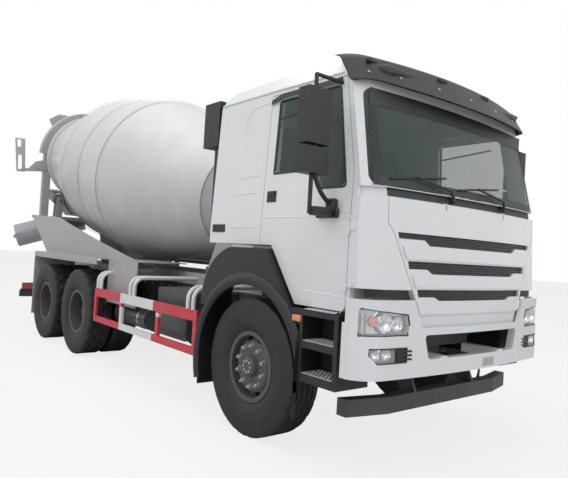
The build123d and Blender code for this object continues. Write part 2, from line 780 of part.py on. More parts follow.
with BuildPart() as mixer_frame:
    with Locations(((subframe_front_x + frame_rear_x) / 2, -(rail_outer_y + rail_inner_y) / 2, (frame_top + subframe_top) / 2)):
        Box(subframe_front_x - frame_rear_x, rail_flange, subframe_height)
    with BuildSketch(Plane.XZ.offset(front_pedestal_half_width)):
        with BuildLine():
            Polyline(
                (front_pedestal_front_x, subframe_top),
                (drive_base.X + 170, drive_base.Z),
                (drive_base.X - 100, drive_base.Z),
                (drive_base.X - 400, subframe_top),
                close=True,
            )
        make_face()
    extrude(amount=pedestal_wall)
    with BuildSketch(Plane.XZ.offset(rear_pedestal_half_width)):
        with BuildLine():
            Polyline(
                (rear_pedestal_front_x, subframe_top),
                (frame_rear_x, subframe_top),
                (frame_rear_x - 200, rear_pedestal_top_z),
                (frame_rear_x + 350, rear_pedestal_top_z),
                close=True,
            )
        make_face()
    extrude(amount=pedestal_wall)
    with BuildSketch(Plane.XZ.offset(wing_y)):
        with BuildLine():
            wing_front = (mid_axle_x + 1465, wing_bottom_z)
            wing_rear = (rear_axle_x - 100, 1850)
            Line((rear_fender_rear_x, wing_bottom_z), wing_front)
            ThreePointArc(wing_front, (mid_axle_x + 325, 1500), wing_rear)
            Polyline(wing_rear, (frame_rear_x + 150, rear_pedestal_top_z), (rear_fender_rear_x, wing_bottom_z))
        make_face()
        with Locations([(mid_axle_x + x, z) for x, z in ((335, 1400), (115, 1420), (-105, 1450), (-325, 1490))]):
            SlotOverall(130, 60, rotation=90)
    extrude(amount=wing_wall)
    with Locations((frame_rear_x + 250, -(rear_pedestal_half_width + wing_y + wing_wall) / 2, rear_pedestal_top_z - 35)):
        Box(200, wing_y + wing_wall - rear_pedestal_half_width, 30)
    mirror(about=Plane.XZ)
    with Locations((drive_base.X + 35, 0, drive_base.Z - 10)):
        Box(270, 2 * front_pedestal_half_width + 2 * pedestal_wall, 20)
    with Locations((frame_rear_x + 15, 0, rear_pedestal_top_z - 30)):
        Box(670, 2 * rear_pedestal_half_width + 2 * pedestal_wall, 60)
    for sign in (-1, 1):
        for bracket_run in (roller_width / 2 + running_gap, -roller_width / 2 - running_gap - roller_bracket_wall):
            with BuildSketch(roller_plane(sign).offset(bracket_run)):
                Circle(60)
                with Locations((0, 175)):
                    Rectangle(120, 350)
                Circle(roller_shaft_radius + pin_gap, mode=Mode.SUBTRACT)
            extrude(amount=roller_bracket_wall)
    with BuildSketch(Plane.YZ.offset(frame_rear_x)):
        with Locations((0, (subframe_top + rear_pedestal_top_z) / 2)):
            Rectangle(2 * rear_pedestal_half_width + 2 * pedestal_wall, rear_pedestal_top_z - subframe_top)
            Circle(260, mode=Mode.SUBTRACT)
    extrude(amount=pedestal_wall)
    with BuildSketch(Plane.XY.offset(subframe_top + 20)):
        with Locations(((frame_rear_x + funnel_outlet_x) / 2, 0)):
            Rectangle(frame_rear_x - funnel_outlet_x + 2 * post_radius, 2 * post_radius)
    extrude(amount=post_bottom - subframe_top)
    with BuildSketch(Plane.XY.offset(subframe_top + 20)):
        with Locations((funnel_outlet_x, 0)):
            Circle(post_radius)
    extrude(amount=post_top - subframe_top - 20)
pieces["mixer_frame"] = mixer_frame.part

# ---- Rear arch: two columns and the hood over the drum's mouth ----------------------------------
column_depth = 110
column_width = 130
column_y = 740
column_top_z = 3095
foot_length = 240
foot_depth = 60
hood_inner_radius = 760
hood_outer_radius = 880
hood_middle = 5650
hood_half_width = 70
hopper_front_x = mid_axle_x - 3495
cap_y = 830
cap_z = 2860
cap_radius = 95
cap_rise = 15
lamp_arm_depth = 60
lamp_arm_outline = [
    # y, z
    (-760, 2765),
    (-1085, 2726),
    (-1180, 2722),
    (-1180, 2772),
    (-1072, 2779),
    (-1041, 2801),
    (-936, 2928),
    (-860, 2950),
    (-760, 2900),
]
lamp_bracket_depth = 40
lamp_bracket_outline = [
    # y, z
    (-1257, 2702),
    (-1116, 2713),
    (-1150, 3310),
    (-1315, 3301),
]
lamp_bracket_slots = [
    # bottom outer y, bottom inner y, top inner y, top outer y, bottom z, top z
    (-1240, -1165, -1185, -1255, 2745, 3010),
    (-1275, -1205, -1212, -1285, 3150, 3285),
]

column_x = on_drum(hood_middle).X - 20
hood_plane = Plane(origin=on_drum(hood_middle), x_dir=(0, -1, 0), z_dir=drum_plane.z_dir)
with BuildPart() as rear_arch:
    with BuildSketch(hood_plane):
        Circle(hood_outer_radius)
        Circle(hood_inner_radius, mode=Mode.SUBTRACT)
        with Locations((0, -hood_outer_radius)):
            Rectangle(3 * hood_outer_radius, 2 * hood_outer_radius, mode=Mode.SUBTRACT)
    extrude(amount=hood_half_width, both=True)
    for side in (-1, 1):
        with Locations((column_x, side * column_y, (rear_pedestal_top_z + column_top_z) / 2)):
            Box(column_depth, column_width, column_top_z - rear_pedestal_top_z)
        foot_inner_y = rear_pedestal_half_width + pedestal_wall
        foot_outer_y = column_y + column_width / 2
        with Locations((
            column_x + (foot_length - column_depth) / 2,
            side * (foot_inner_y + foot_outer_y) / 2,
            rear_pedestal_top_z - foot_depth / 2,
        )):
            Box(foot_length, foot_outer_y - foot_inner_y, foot_depth)
        with Locations(Location((column_x, side * cap_y, cap_z), (0, 90, 0))):
            Cylinder(cap_radius, column_depth + 2 * cap_rise)
    with Locations(((hopper_front_x + on_drum(hood_middle, hood_inner_radius).X) / 2, 0, 3870)):
        Box(on_drum(hood_middle, hood_inner_radius).X - hopper_front_x, 600, 40)
    with BuildSketch(Plane.YZ.offset(column_x)):
        with BuildLine():
            Polyline(*lamp_arm_outline, close=True)
        make_face()
    extrude(amount=lamp_arm_depth / 2, both=True)
    with BuildSketch(Plane.YZ.offset(column_x)):
        with BuildLine():
            Polyline(*lamp_bracket_outline, close=True)
        make_face()
        for bottom_outer, bottom_inner, top_inner, top_outer, bottom_z, top_z in lamp_bracket_slots:
            with BuildLine():
                Polyline(
                    (bottom_outer, bottom_z),
                    (bottom_inner, bottom_z),
                    (top_inner, top_z),
                    (top_outer, top_z),
                    close=True,
                )
            make_face(mode=Mode.SUBTRACT)
    extrude(amount=lamp_bracket_depth / 2, both=True)
pieces["rear_arch"] = rear_arch.part

# ---- Drum drive: reducer and hydraulic motor ----------------------------------------------------
reducer_radius = 215
reducer_length = 290
motor_radius = 105
motor_length = 230

with BuildPart() as drum_drive:
    with BuildSketch(Plane(origin=drum_plane.origin, x_dir=(0, 1, 0), z_dir=drum_plane.z_dir).offset(-seat_gap)):
        Circle(reducer_radius)
    extrude(amount=-reducer_length)
    with BuildSketch(Plane(origin=on_drum(-reducer_length), x_dir=(0, 1, 0), z_dir=drum_plane.z_dir)):
        Circle(motor_radius)
    extrude(amount=-motor_length)
    with BuildSketch(Plane.XY.offset(drive_base.Z)):
        with Locations((drive_base.X + 35, 0)):
            Rectangle(240, 300)
    extrude(amount=120)
pieces["drum_drive"] = drum_drive.part

# ---- Water tank ---------------------------------------------------------------------------------
water_tank_x = front_axle_x - 1010
water_tank_z = 1470
water_tank_radius = 200
water_tank_half_length = 560

with BuildPart() as water_tank:
    with BuildSketch(Plane.XZ.offset(-water_tank_half_length)):
        with Locations((water_tank_x, water_tank_z)):
            Circle(water_tank_radius)
    extrude(amount=2 * water_tank_half_length)
    with BuildSketch(Plane.XZ.offset(rail_inner_y)):
        with Locations((water_tank_x, (subframe_top + water_tank_z) / 2)):
            Rectangle(160, water_tank_z - subframe_top)
    extrude(amount=rail_flange)
    with BuildSketch(Plane.XZ.offset(-rail_outer_y)):
        with Locations((water_tank_x, (subframe_top + water_tank_z) / 2)):
            Rectangle(160, water_tank_z - subframe_top)
    extrude(amount=rail_flange)
pieces["water_tank"] = water_tank.part

# ---- Charging hopper ----------------------------------------------------------------------------
hopper_top_z = 3900
hopper_bottom_z = 3060
hopper_top_length = 640
hopper_top_width = 1100
hopper_bottom_length = 260
hopper_bottom_width = 520
hopper_wall = 8

with BuildPart() as hopper:
    with BuildSketch(Plane.XY.offset(hopper_bottom_z)):
        with Locations((hopper_front_x - hopper_bottom_length / 2, 0)):
            Rectangle(hopper_bottom_length, hopper_bottom_width)
    with BuildSketch(Plane.XY.offset(hopper_top_z)):
        with Locations((hopper_front_x - hopper_top_length / 2, 0)):
            Rectangle(hopper_top_length, hopper_top_width)
    loft()
    offset(amount=-hopper_wall, openings=faces().filter_by(Axis.Z))
pieces["hopper"] = hopper.part

# ---- Discharge funnel ---------------------------------------------------------------------------
funnel_top_z = 2440
funnel_bottom_z = 2000
funnel_top_x = mid_axle_x - 3505
funnel_wall = 8

with BuildPart() as discharge_funnel:
    with BuildSketch(Plane.XY.offset(funnel_bottom_z)):
        with Locations((funnel_outlet_x, 0)):
            Rectangle(300, 360)
    with BuildSketch(Plane.XY.offset(funnel_top_z)):
        with Locations((funnel_top_x - 320, 0)):
            Rectangle(640, 1180)
    loft()
    offset(amount=-funnel_wall, openings=faces().filter_by(Axis.Z))
    for side in (-1, 1):
        with Locations((column_x - 20, side * (column_y - column_width / 2 - 75), funnel_top_z - 20)):
            Box(150, 150, 40)
pieces["discharge_funnel"] = discharge_funnel.part

# ---- Ladder and platform ------------------------------------------------------------------------
platform_z = 2650
platform_length = 520
platform_front_x = column_x - column_depth / 2 + platform_length
platform_inner_y = column_y + column_width / 2
platform_width = 480
ladder_y = 1010
ladder_rail_radius = 19
ladder_width = 380
rail_top_z = 3240

with BuildPart() as ladder_platform:
    with Locations((platform_front_x - platform_length / 2, -(platform_inner_y + platform_width / 2), platform_z)):
        Box(platform_length, platform_width, 30)
    for rail_x in (platform_front_x - 40, platform_front_x - 40 - ladder_width):
        with Locations((rail_x, -(platform_inner_y + platform_width - 20), (platform_z + rail_top_z) / 2)):
            Cylinder(ladder_rail_radius, rail_top_z - platform_z)
        plane, length = straight((rail_x, -(platform_inner_y + platform_width - 20), platform_z), (rail_x, -1180, 700))
        with Locations(plane):
            Cylinder(ladder_rail_radius, length)
    for rung in range(6):
        rung_z = 760 + 320 * rung
        rung_y = -1180 - (platform_inner_y + platform_width - 20 - 1180) * (rung_z - 700) / (platform_z - 700)
        with Locations(Location((platform_front_x - 40 - ladder_width / 2, rung_y, rung_z), (0, 90, 0))):
            Cylinder(13, ladder_width)
    with Locations(Location((platform_front_x - 40 - ladder_width / 2, -(platform_inner_y + platform_width - 20), rail_top_z - 10), (0, 90, 0))):
        Cylinder(ladder_rail_radius, ladder_width)
pieces["ladder_platform"] = mirrored(ladder_platform.part)

# ==== Cab ========================================================================================
corner_x = front_axle_x + 1105
screen_corner_x = front_axle_x + 1238
screen_corner_y = 1000
screen_rake = 0.255
front_rake = 0.04


def cab_side_y(height):
    """Half-width of the cab at a height above its belt."""
    lean = (cab_half_width - cab_roof_half_width) / (2800 - cab_belt_z)
    return cab_half_width - lean * max(0, height - cab_belt_z)


def cab_form(inset):
    """Closed form of the cab, every face moved inwards by inset."""
    with BuildSketch(Plane.XY.offset(screen_foot_z)) as plan:
        with BuildLine():
            ThreePointArc(
                (screen_corner_x, -screen_corner_y),
                (screen_foot_x, 0),
                (screen_corner_x, screen_corner_y),
            )
            Polyline(
                (screen_corner_x, screen_corner_y),
                (corner_x, cab_half_width + 20),
                (cab_back_x - 400, cab_half_width + 20),
                (cab_back_x - 400, -cab_half_width - 20),
                (corner_x, -cab_half_width - 20),
                (screen_corner_x, -screen_corner_y),
            )
        make_face()
        offset(amount=-inset, kind=Kind.INTERSECTION)
    upper_rise = cab_roof_z - screen_foot_z + 100
    lower_drop = screen_foot_z - footwell_z + 200
    with BuildPart() as form:
        extrude(to_extrude=plan.sketch, amount=upper_rise, dir=(-screen_rake, 0, 1))
        extrude(to_extrude=plan.sketch, amount=lower_drop, dir=(front_rake, 0, -1))
        with BuildSketch(Plane.XZ):
            with BuildLine():
                Polyline(
                    (cab_back_x, cab_floor_z),
                    (cab_back_x, 2860),
                    (cab_back_x + 120, 2940),
                    (front_axle_x + 450, cab_roof_z),
                    (front_axle_x + 800, 2930),
                    (front_axle_x + 1400, 2740),
                    (front_axle_x + 1500, footwell_z),
                    (front_axle_x + 530, footwell_z),
                    (front_axle_x + 210, cab_floor_z),
                    (cab_back_x, cab_floor_z),
                )
            make_face()
            offset(amount=-inset, kind=Kind.INTERSECTION)
        extrude(amount=2000, both=True, mode=Mode.INTERSECT)
        with BuildSketch(Plane.YZ.offset(cab_back_x - 100)):
            with BuildLine():
                Polyline(
                    (-cab_half_width, footwell_z - 100),
                    (-cab_half_width, cab_belt_z),
                    (-cab_roof_half_width, 2800),
                    (-cab_roof_half_width + 90, cab_roof_z + 10),
                    (cab_roof_half_width - 90, cab_roof_z + 10),
                    (cab_roof_half_width, 2800),
                    (cab_half_width, cab_belt_z),
                    (cab_half_width, footwell_z - 100),
                    close=True,
                )
            make_face()
            offset(amount=-inset, kind=Kind.INTERSECTION)
        extrude(amount=2600, mode=Mode.INTERSECT)
    return form.part


door_back_x = front_axle_x + 60
door_front_x = front_axle_x + 1050
door_top_z = 2780
door_hinge_zs = (1300, 1680)
door_hinge_radius = 11
door_hinge_y = cab_half_width + door_hinge_radius
door_hinge_leaf = 8
door_hinge_reach = 50
door_hinge_height = 30
door_hinge_x = door_front_x
door_pin_radius = 5
roof_seam_z = 2820
lid_top_z = 1925
lid_hinge_y = 400
lid_hinge_x = screen_foot_x - 21
lid_hinge_z = lid_top_z - 4
lid_lug_radius = 12
lid_lug_wall = 14
lid_pin_radius = 6
lid_bottom_z = footwell_z - 10
firewall = 30
apron_top_z = 1299
cowl_recess = 30
cowl_top_z = 1985
window_radius = 50


def door_outline(grow):
    """Door outline from the side, grown outwards by half the gap round it."""
    with BuildSketch(Plane.XZ) as outline:
        with BuildLine():
            Polyline(
                (door_back_x, cab_floor_z - 60),
                (door_back_x, door_top_z),
                (front_axle_x + 905, door_top_z),
                (door_front_x, 2080),
                (door_front_x, footwell_z - 60),
                (front_axle_x + 520, footwell_z - 60),
                (front_axle_x + 200, cab_floor_z - 60),
                close=True,
            )
        make_face()
        offset(amount=grow, kind=Kind.INTERSECTION)
    return outline.sketch


def window_outline(grow):
    """Door window outline from the side."""
    with BuildSketch(Plane.XZ) as outline:
        with BuildLine():
            Polyline(
                (front_axle_x + 170, 2130),
                (front_axle_x + 170, 2715),
                (front_axle_x + 850, 2715),
                (front_axle_x + 985, 1985),
                (front_axle_x + 690, 1985),
                (front_axle_x + 640, 2130),
                close=True,
            )
        make_face()
        fillet(outline.vertices(), window_radius)
        offset(amount=grow)
    return outline.sketch


def lid_outline(grow):
    """Front lid outline seen from the front."""
    with BuildSketch(Plane.YZ.offset(front_axle_x + 1000)) as outline:
        with BuildLine():
            Polyline(
                (-985, lid_top_z),
                (985, lid_top_z),
                (985, 1745),
                (935, 1690),
                (660, lid_bottom_z),
                (-660, lid_bottom_z),
                (-935, 1690),
                (-985, 1745),
                close=True,
            )
        make_face()
        offset(amount=grow, kind=Kind.INTERSECTION)
    return outline.sketch


grille_rows = [
    # top z, ledge z, foot z, end half, shoulder half, foot half
    (1689, 1647, 1609, 895, 630, 575),
    (1497, 1443, 1412, 795, 600, 545),
    (1303, 1250, 1225, 700, 520, 465),
]
grille_end_slope = 12
lid_bars = [
    # bottom z, top z, bottom half, top half
    (1510, 1596, 812, 856),
    (1316, 1400, 722, 760),
]
lid_bar_rise = 14


def grille_outline(grow):
    """Outlines of the grille openings seen from the front: long ends and a deeper middle."""
    with BuildSketch(Plane.YZ.offset(front_panel_x)) as outline:
        for top_z, ledge_z, foot_z, end_half, shoulder_half, foot_half in grille_rows:
            with BuildLine():
                Polyline(
                    (-end_half, top_z),
                    (end_half, top_z),
                    (end_half - grille_end_slope, ledge_z),
                    (shoulder_half, ledge_z),
                    (foot_half, foot_z),
                    (-foot_half, foot_z),
                    (-shoulder_half, ledge_z),
                    (-end_half + grille_end_slope, ledge_z),
                    close=True,
                )
            make_face()
        offset(amount=grow, kind=Kind.INTERSECTION)
    return outline.sketch


def screen_outline(grow):
    """Windscreen outline seen from the front."""
    with BuildSketch(Plane.YZ.offset(front_axle_x + 700)) as outline:
        with BuildLine():
            Polyline(
                (-1092, 1990),
                (1092, 1990),
                (1052, 2690),
                (-1052, 2690),
                close=True,
            )
        make_face()
        fillet(outline.vertices(), 70)
        offset(amount=grow)
    return outline.sketch


outer_form = cab_form(0)
inner_form = cab_form(cab_wall)
glass_form = cab_form(8)
door_cut = door_outline(panel_gap / 2)
door_face = door_outline(-panel_gap / 2)
lid_cut = lid_outline(panel_gap / 2)
lid_face = lid_outline(-panel_gap / 2)
screen_cut = screen_outline(0)
screen_face = screen_outline(-seat_gap)
window_cut = window_outline(0)
window_face = window_outline(-seat_gap)
front_panel_x = door_front_x + panel_gap / 2
tilt_clearance = 245
lid_edge_wall = 20
lid_edge_y = 905

# The cab swings about its hinge over the bumper's top, so nothing of it lies nearer to the hinge there.
with BuildPart() as tilt_space:
    for side in (-1, 1):
        with Locations(Location((hinge_x, side * (dip_top_half + cab_half_width) / 2, hinge_z), (90, 0, 0))):
            Cylinder(tilt_clearance, cab_half_width - dip_top_half + 200)

# The lid's ends are thin, so that they leave their opening before they move down.
with BuildPart() as lid_edge_space:
    with Locations((-lid_edge_wall, 0, 0)):
        add(outer_form)
    with Locations((front_axle_x, 0, 2000)):
        Box(4000, 2 * lid_edge_y, 4000, mode=Mode.SUBTRACT)

with BuildPart() as cab_roof:
    add(outer_form)
    add(inner_form, mode=Mode.SUBTRACT)
    with Locations((front_axle_x, 0, roof_seam_z - 1000)):
        Box(4000, 4000, 2000, mode=Mode.SUBTRACT)
pieces["cab_roof"] = cab_roof.part

with BuildPart() as cab_floor:
    with BuildSketch(Plane.XZ):
        with BuildLine():
            Polyline(
                (cab_back_x, cab_floor_z),
                (cab_back_x, cab_floor_z + cab_wall),
                (front_axle_x + 240, cab_floor_z + cab_wall),
                (front_axle_x + 560, footwell_z + cab_wall),
                (front_panel_x, footwell_z + cab_wall),
                (front_panel_x, footwell_z),
                (front_axle_x + 530, footwell_z),
                (front_axle_x + 210, cab_floor_z),
                close=True,
            )
        make_face()
    extrude(amount=cab_half_width - cab_wall - panel_gap, both=True)
    with BuildSketch(Plane.YZ.offset(front_axle_x + 205)):
        Rectangle(2 * tunnel_half_width, 2 * cab_floor_z)
    extrude(amount=1000, mode=Mode.SUBTRACT)
    with BuildSketch(Plane.YZ.offset(front_axle_x + 205)):
        with Locations((0, (footwell_z + cab_floor_z + cab_wall) / 2)):
            Rectangle(2 * tunnel_half_width + 60, cab_floor_z + cab_wall - footwell_z)
        with Locations((0, (footwell_z + cab_floor_z) / 2)):
            Rectangle(2 * tunnel_half_width, cab_floor_z - footwell_z, mode=Mode.SUBTRACT)
    extrude(amount=front_panel_x - front_axle_x - 205)
    add(tilt_space.part, mode=Mode.SUBTRACT)
pieces["cab_floor"] = cab_floor.part

with BuildPart() as cab_body:
    add(outer_form)
    add(inner_form, mode=Mode.SUBTRACT)
    with Locations((front_axle_x, 0, roof_seam_z + 1000)):
        Box(4000, 4000, 2000, mode=Mode.SUBTRACT)
    with Locations((front_panel_x + 1000, 0, 2000)):
        Box(2000, 4000, 4000, mode=Mode.SUBTRACT)
    with Locations(((cab_back_x + front_panel_x) / 2, 0, (footwell_z + cab_floor_z + cab_wall) / 2)):
        Box(
            front_panel_x - cab_back_x,
            2 * (cab_half_width - cab_wall),
            cab_floor_z + cab_wall - footwell_z,
            mode=Mode.SUBTRACT,
        )
    extrude(to_extrude=door_cut, amount=2000, both=True, mode=Mode.SUBTRACT)
    extrude(to_extrude=screen_cut, amount=2000, mode=Mode.SUBTRACT)
pieces["cab_body"] = cab_body.part

with BuildPart() as cab_front:
    add(outer_form)
    add(inner_form, mode=Mode.SUBTRACT)
    with Locations((front_axle_x, 0, roof_seam_z + 1000)):
        Box(4000, 4000, 2000, mode=Mode.SUBTRACT)
    with Locations((front_panel_x - 1000, 0, 2000)):
        Box(2000, 4000, 4000, mode=Mode.SUBTRACT)
    extrude(to_extrude=door_cut, amount=2000, both=True, mode=Mode.SUBTRACT)
    extrude(to_extrude=lid_cut, amount=2000, mode=Mode.SUBTRACT)
    extrude(to_extrude=screen_cut, amount=2000, mode=Mode.SUBTRACT)
    with BuildSketch(Plane.XZ):
        with Locations((front_panel_x + firewall + 500, apron_top_z - 500)):
            Rectangle(1000, 1000)
    extrude(amount=2000, both=True, mode=Mode.SUBTRACT)
    with BuildPart(mode=Mode.SUBTRACT):
        add(outer_form)
        add(cab_form(cowl_recess), mode=Mode.SUBTRACT)
        with Locations((screen_foot_x, 0, (lid_top_z + cowl_top_z) / 2)):
            Box(400, 4000, cowl_top_z - lid_top_z, mode=Mode.INTERSECT)
    with Locations((front_panel_x + firewall / 2, 0, (footwell_z + lid_top_z) / 2)):
        Box(firewall, 2 * (cab_side_y(lid_top_z) - cab_wall), lid_top_z - footwell_z)
    for side in (-1, 1):
        with BuildSketch(Plane.XZ.offset(side * (rail_outer_y + panel_gap + hinge_ear_wall / 2))):
            with BuildLine():
                Polyline(
                    (front_panel_x + 20, footwell_z + 10),
                    (front_panel_x + 20, footwell_z + 110),
                    (hinge_x + 17, hinge_z + 17),
                    (hinge_x - 17, hinge_z - 17),
                    close=True,
                )
            make_face()
            with Locations((hinge_x, hinge_z)):
                Circle(hinge_ear_radius)
            with Locations((hinge_x, hinge_z)):
                Circle(hinge_pin_radius + pin_gap, mode=Mode.SUBTRACT)
        extrude(amount=hinge_ear_wall / 2, both=True)
    for lug_y in (-lid_hinge_y, lid_hinge_y):
        with BuildSketch(Plane.XZ.offset(lug_y - lid_lug_wall / 2)):
            with BuildLine():
                Polyline(
                    (screen_foot_x - 52, lid_top_z + panel_gap),
                    (screen_foot_x - 52, lid_top_z + 34),
                    (screen_foot_x - 42, lid_top_z + 34),
                    (lid_hinge_x + lid_lug_radius, lid_hinge_z),
                    (lid_hinge_x, lid_hinge_z - lid_lug_radius),
                    (lid_hinge_x - lid_lug_radius, lid_hinge_z),
                    close=True,
                )
            make_face()
        extrude(amount=lid_lug_wall)
        with Locations(Location((lid_hinge_x, lug_y, lid_hinge_z), (90, 0, 0))):
            Cylinder(lid_pin_radius, 3 * lid_lug_wall)
    for hinge_side in (-1, 1):
        for knuckle_z in [z + (door_hinge_height + seat_gap) / 2 for z in door_hinge_zs]:
            with Locations((door_hinge_x, hinge_side * door_hinge_y, knuckle_z)):
                Cylinder(door_hinge_radius, door_hinge_height)
            with Locations((door_hinge_x, hinge_side * door_hinge_y, knuckle_z - door_hinge_height)):
                Cylinder(door_pin_radius, door_hinge_height)
            leaf_front_x = corner_x
            with Locations((
                (door_hinge_x + leaf_front_x) / 2,
                hinge_side * (cab_half_width + door_hinge_leaf / 2),
                knuckle_z,
            )):
                Box(leaf_front_x - door_hinge_x, door_hinge_leaf, door_hinge_height)
    add(tilt_space.part, mode=Mode.SUBTRACT)
pieces["cab_front"] = cab_front.part

with BuildPart() as windscreen:
    add(outer_form)
    add(glass_form, mode=Mode.SUBTRACT)
    extrude(to_extrude=screen_face, amount=2000, mode=Mode.INTERSECT)
pieces["windscreen"] = windscreen.part

with BuildPart() as door:
    add(outer_form)
    add(inner_form, mode=Mode.SUBTRACT)
    with Locations((front_axle_x, cab_half_width, 2000)):
        Box(4000, 2 * cab_half_width, 4000, mode=Mode.SUBTRACT)
    extrude(to_extrude=door_face, amount=2000, both=True, mode=Mode.INTERSECT)
    extrude(to_extrude=window_cut, amount=2000, both=True, mode=Mode.SUBTRACT)
    with Locations((front_axle_x, 0, footwell_z)):
        Box(4000, 2 * (cab_half_width - cab_wall), 2 * (cab_belt_z - footwell_z), mode=Mode.SUBTRACT)
    for knuckle_z in [z - (door_hinge_height + seat_gap) / 2 for z in door_hinge_zs]:
        with Locations((door_hinge_x, -door_hinge_y, knuckle_z)):
            Cylinder(door_hinge_radius, door_hinge_height)
        with Locations((door_hinge_x - door_hinge_reach / 2, -cab_half_width - door_hinge_leaf / 2, knuckle_z)):
            Box(door_hinge_reach, door_hinge_leaf, door_hinge_height)
        with Locations((door_hinge_x, -door_hinge_y, knuckle_z)):
            Cylinder(door_pin_radius + pin_gap, 2 * door_hinge_height, mode=Mode.SUBTRACT)
    add(tilt_space.part, mode=Mode.SUBTRACT)
pieces["door_r"] = door.part
pieces["door_l"] = mirrored(door.part)

with BuildPart() as door_glass:
    add(outer_form)
    add(glass_form, mode=Mode.SUBTRACT)
    with Locations((front_axle_x, cab_half_width, 2000)):
        Box(4000, 2 * cab_half_width, 4000, mode=Mode.SUBTRACT)
    extrude(to_extrude=window_face, amount=2000, both=True, mode=Mode.INTERSECT)
pieces["door_glass_r"] = door_glass.part
pieces["door_glass_l"] = mirrored(door_glass.part)

with BuildPart() as raised_bars:
    add(cab_form(-lid_bar_rise))
    add(outer_form, mode=Mode.SUBTRACT)
    with BuildSketch(Plane.YZ.offset(front_panel_x)):
        for bar_bottom, bar_top, bottom_half, top_half in lid_bars:
            with BuildLine():
                Polyline(
                    (-top_half, bar_top),
                    (top_half, bar_top),
                    (bottom_half, bar_bottom),
                    (-bottom_half, bar_bottom),
                    close=True,
                )
            make_face()
    extrude(amount=2000, mode=Mode.INTERSECT)

with BuildPart() as grille_lid:
    add(outer_form)
    with Locations((-cab_wall, 0, 0)):
        add(outer_form, mode=Mode.SUBTRACT)
    extrude(to_extrude=lid_face, amount=2000, mode=Mode.INTERSECT)
    add(lid_edge_space.part, mode=Mode.SUBTRACT)
    add(raised_bars.part)
    extrude(to_extrude=grille_outline(0), amount=2000, mode=Mode.SUBTRACT)
    for lug_y in (-lid_hinge_y, lid_hinge_y):
        for knuckle_y in (lug_y - lid_lug_wall - 1, lug_y + lid_lug_wall + 1):
            with BuildSketch(Plane.XZ.offset(knuckle_y - lid_lug_wall / 2)):
                with BuildLine():
                    Polyline(
                        (lid_hinge_x + lid_lug_radius, lid_hinge_z),
                        (lid_hinge_x, lid_hinge_z + lid_lug_radius),
                        (lid_hinge_x - lid_lug_radius, lid_hinge_z),
                        (screen_foot_x - 55, lid_top_z - 25),
                        (screen_foot_x - 55, lid_top_z - 60),
                        (screen_foot_x - 18, lid_top_z - 60),
                        close=True,
                    )
                make_face()
            extrude(amount=lid_lug_wall)
            with Locations(Location((lid_hinge_x, -knuckle_y, lid_hinge_z), (90, 0, 0))):
                Cylinder(lid_pin_radius + pin_gap, 2 * lid_lug_wall, mode=Mode.SUBTRACT)
        with Locations((screen_foot_x, lug_y, lid_top_z - 5)):
            Box(110, lid_lug_wall + 2, 80, mode=Mode.SUBTRACT)
pieces["grille_lid"] = grille_lid.part

# ---- Grille inserts in the lid's openings -------------------------------------------------------
grille_recess = 18
grille_insert_wall = 22

with BuildPart() as grille_slats:
    add(cab_form(grille_recess))
    with Locations((-grille_insert_wall, 0, 0)):
        add(cab_form(grille_recess), mode=Mode.SUBTRACT)
    extrude(to_extrude=grille_outline(-seat_gap), amount=2000, mode=Mode.INTERSECT)
pieces["grille_slats"] = grille_slats.part

# ---- Sun visor ----------------------------------------------------------------------------------
visor_wall = 25
visor_top_z = 2945
visor_solid_height = 105
visor_flare = 0.6
visor_front_x = front_axle_x + 1103
visor_corner_x = front_axle_x + 980
visor_corner_y = 1000
visor_side_x = front_axle_x + 840
visor_half_width = 1125
visor_back_x = front_axle_x + 830
visor_shoulders = [
    # height, lean
    (20, 1.2),
    (15, 2.5),
]
visor_lip_z = 2700
visor_tip_z = 2740
visor_run = 400


def visor_plan(front_shift, level, inset):
    """Plan outline of the visor at one level, every side moved inwards by inset."""
    bend_x = (visor_corner_x + visor_side_x) / 2 + 20
    bend_y = (visor_corner_y + visor_half_width) / 2 + 10
    with BuildSketch(Plane((front_shift, 0, level))) as plan:
        with BuildLine():
            ThreePointArc(
                (visor_corner_x, -visor_corner_y),
                (visor_front_x, 0),
                (visor_corner_x, visor_corner_y),
            )
            ThreePointArc(
                (visor_corner_x, visor_corner_y),
                (bend_x, bend_y),
                (visor_side_x, visor_half_width),
            )
            Polyline(
                (visor_side_x, visor_half_width),
                (visor_back_x, visor_half_width),
                (visor_back_x, -visor_half_width),
                (visor_side_x, -visor_half_width),
            )
            ThreePointArc(
                (visor_side_x, -visor_half_width),
                (bend_x, -bend_y),
                (visor_corner_x, -visor_corner_y),
            )
        make_face()
        offset(amount=-inset, kind=Kind.INTERSECTION)
    return plan.sketch


with BuildPart() as roof_visor:
    shoulder_drop = sum(height for height, lean in visor_shoulders)
    level = visor_top_z - shoulder_drop
    front_shift = visor_flare * shoulder_drop
    extrude(to_extrude=visor_plan(front_shift, level, 0), amount=visor_run, dir=(visor_flare, 0, -1))
    for height, lean in visor_shoulders:
        slant = height * (1 + lean**2) ** 0.5
        extrude(to_extrude=visor_plan(front_shift, level, 0), amount=slant, dir=(-lean, 0, 1))
        front_shift -= height * lean
        level += height
    extrude(
        to_extrude=visor_plan(visor_flare * visor_solid_height, visor_top_z - visor_solid_height, visor_wall),
        amount=visor_run,
        dir=(visor_flare, 0, -1),
        mode=Mode.SUBTRACT,
    )
    with BuildSketch(Plane.YZ):
        with BuildLine():
            ThreePointArc(
                (-visor_half_width - 50, visor_tip_z),
                (0, visor_lip_z),
                (visor_half_width + 50, visor_tip_z),
            )
            Polyline(
                (visor_half_width + 50, visor_tip_z),
                (visor_half_width + 50, visor_tip_z - visor_run),
                (-visor_half_width - 50, visor_tip_z - visor_run),
                (-visor_half_width - 50, visor_tip_z),
            )
        make_face()
    extrude(amount=6000, mode=Mode.SUBTRACT)
    add(cab_form(-seat_gap), mode=Mode.SUBTRACT)
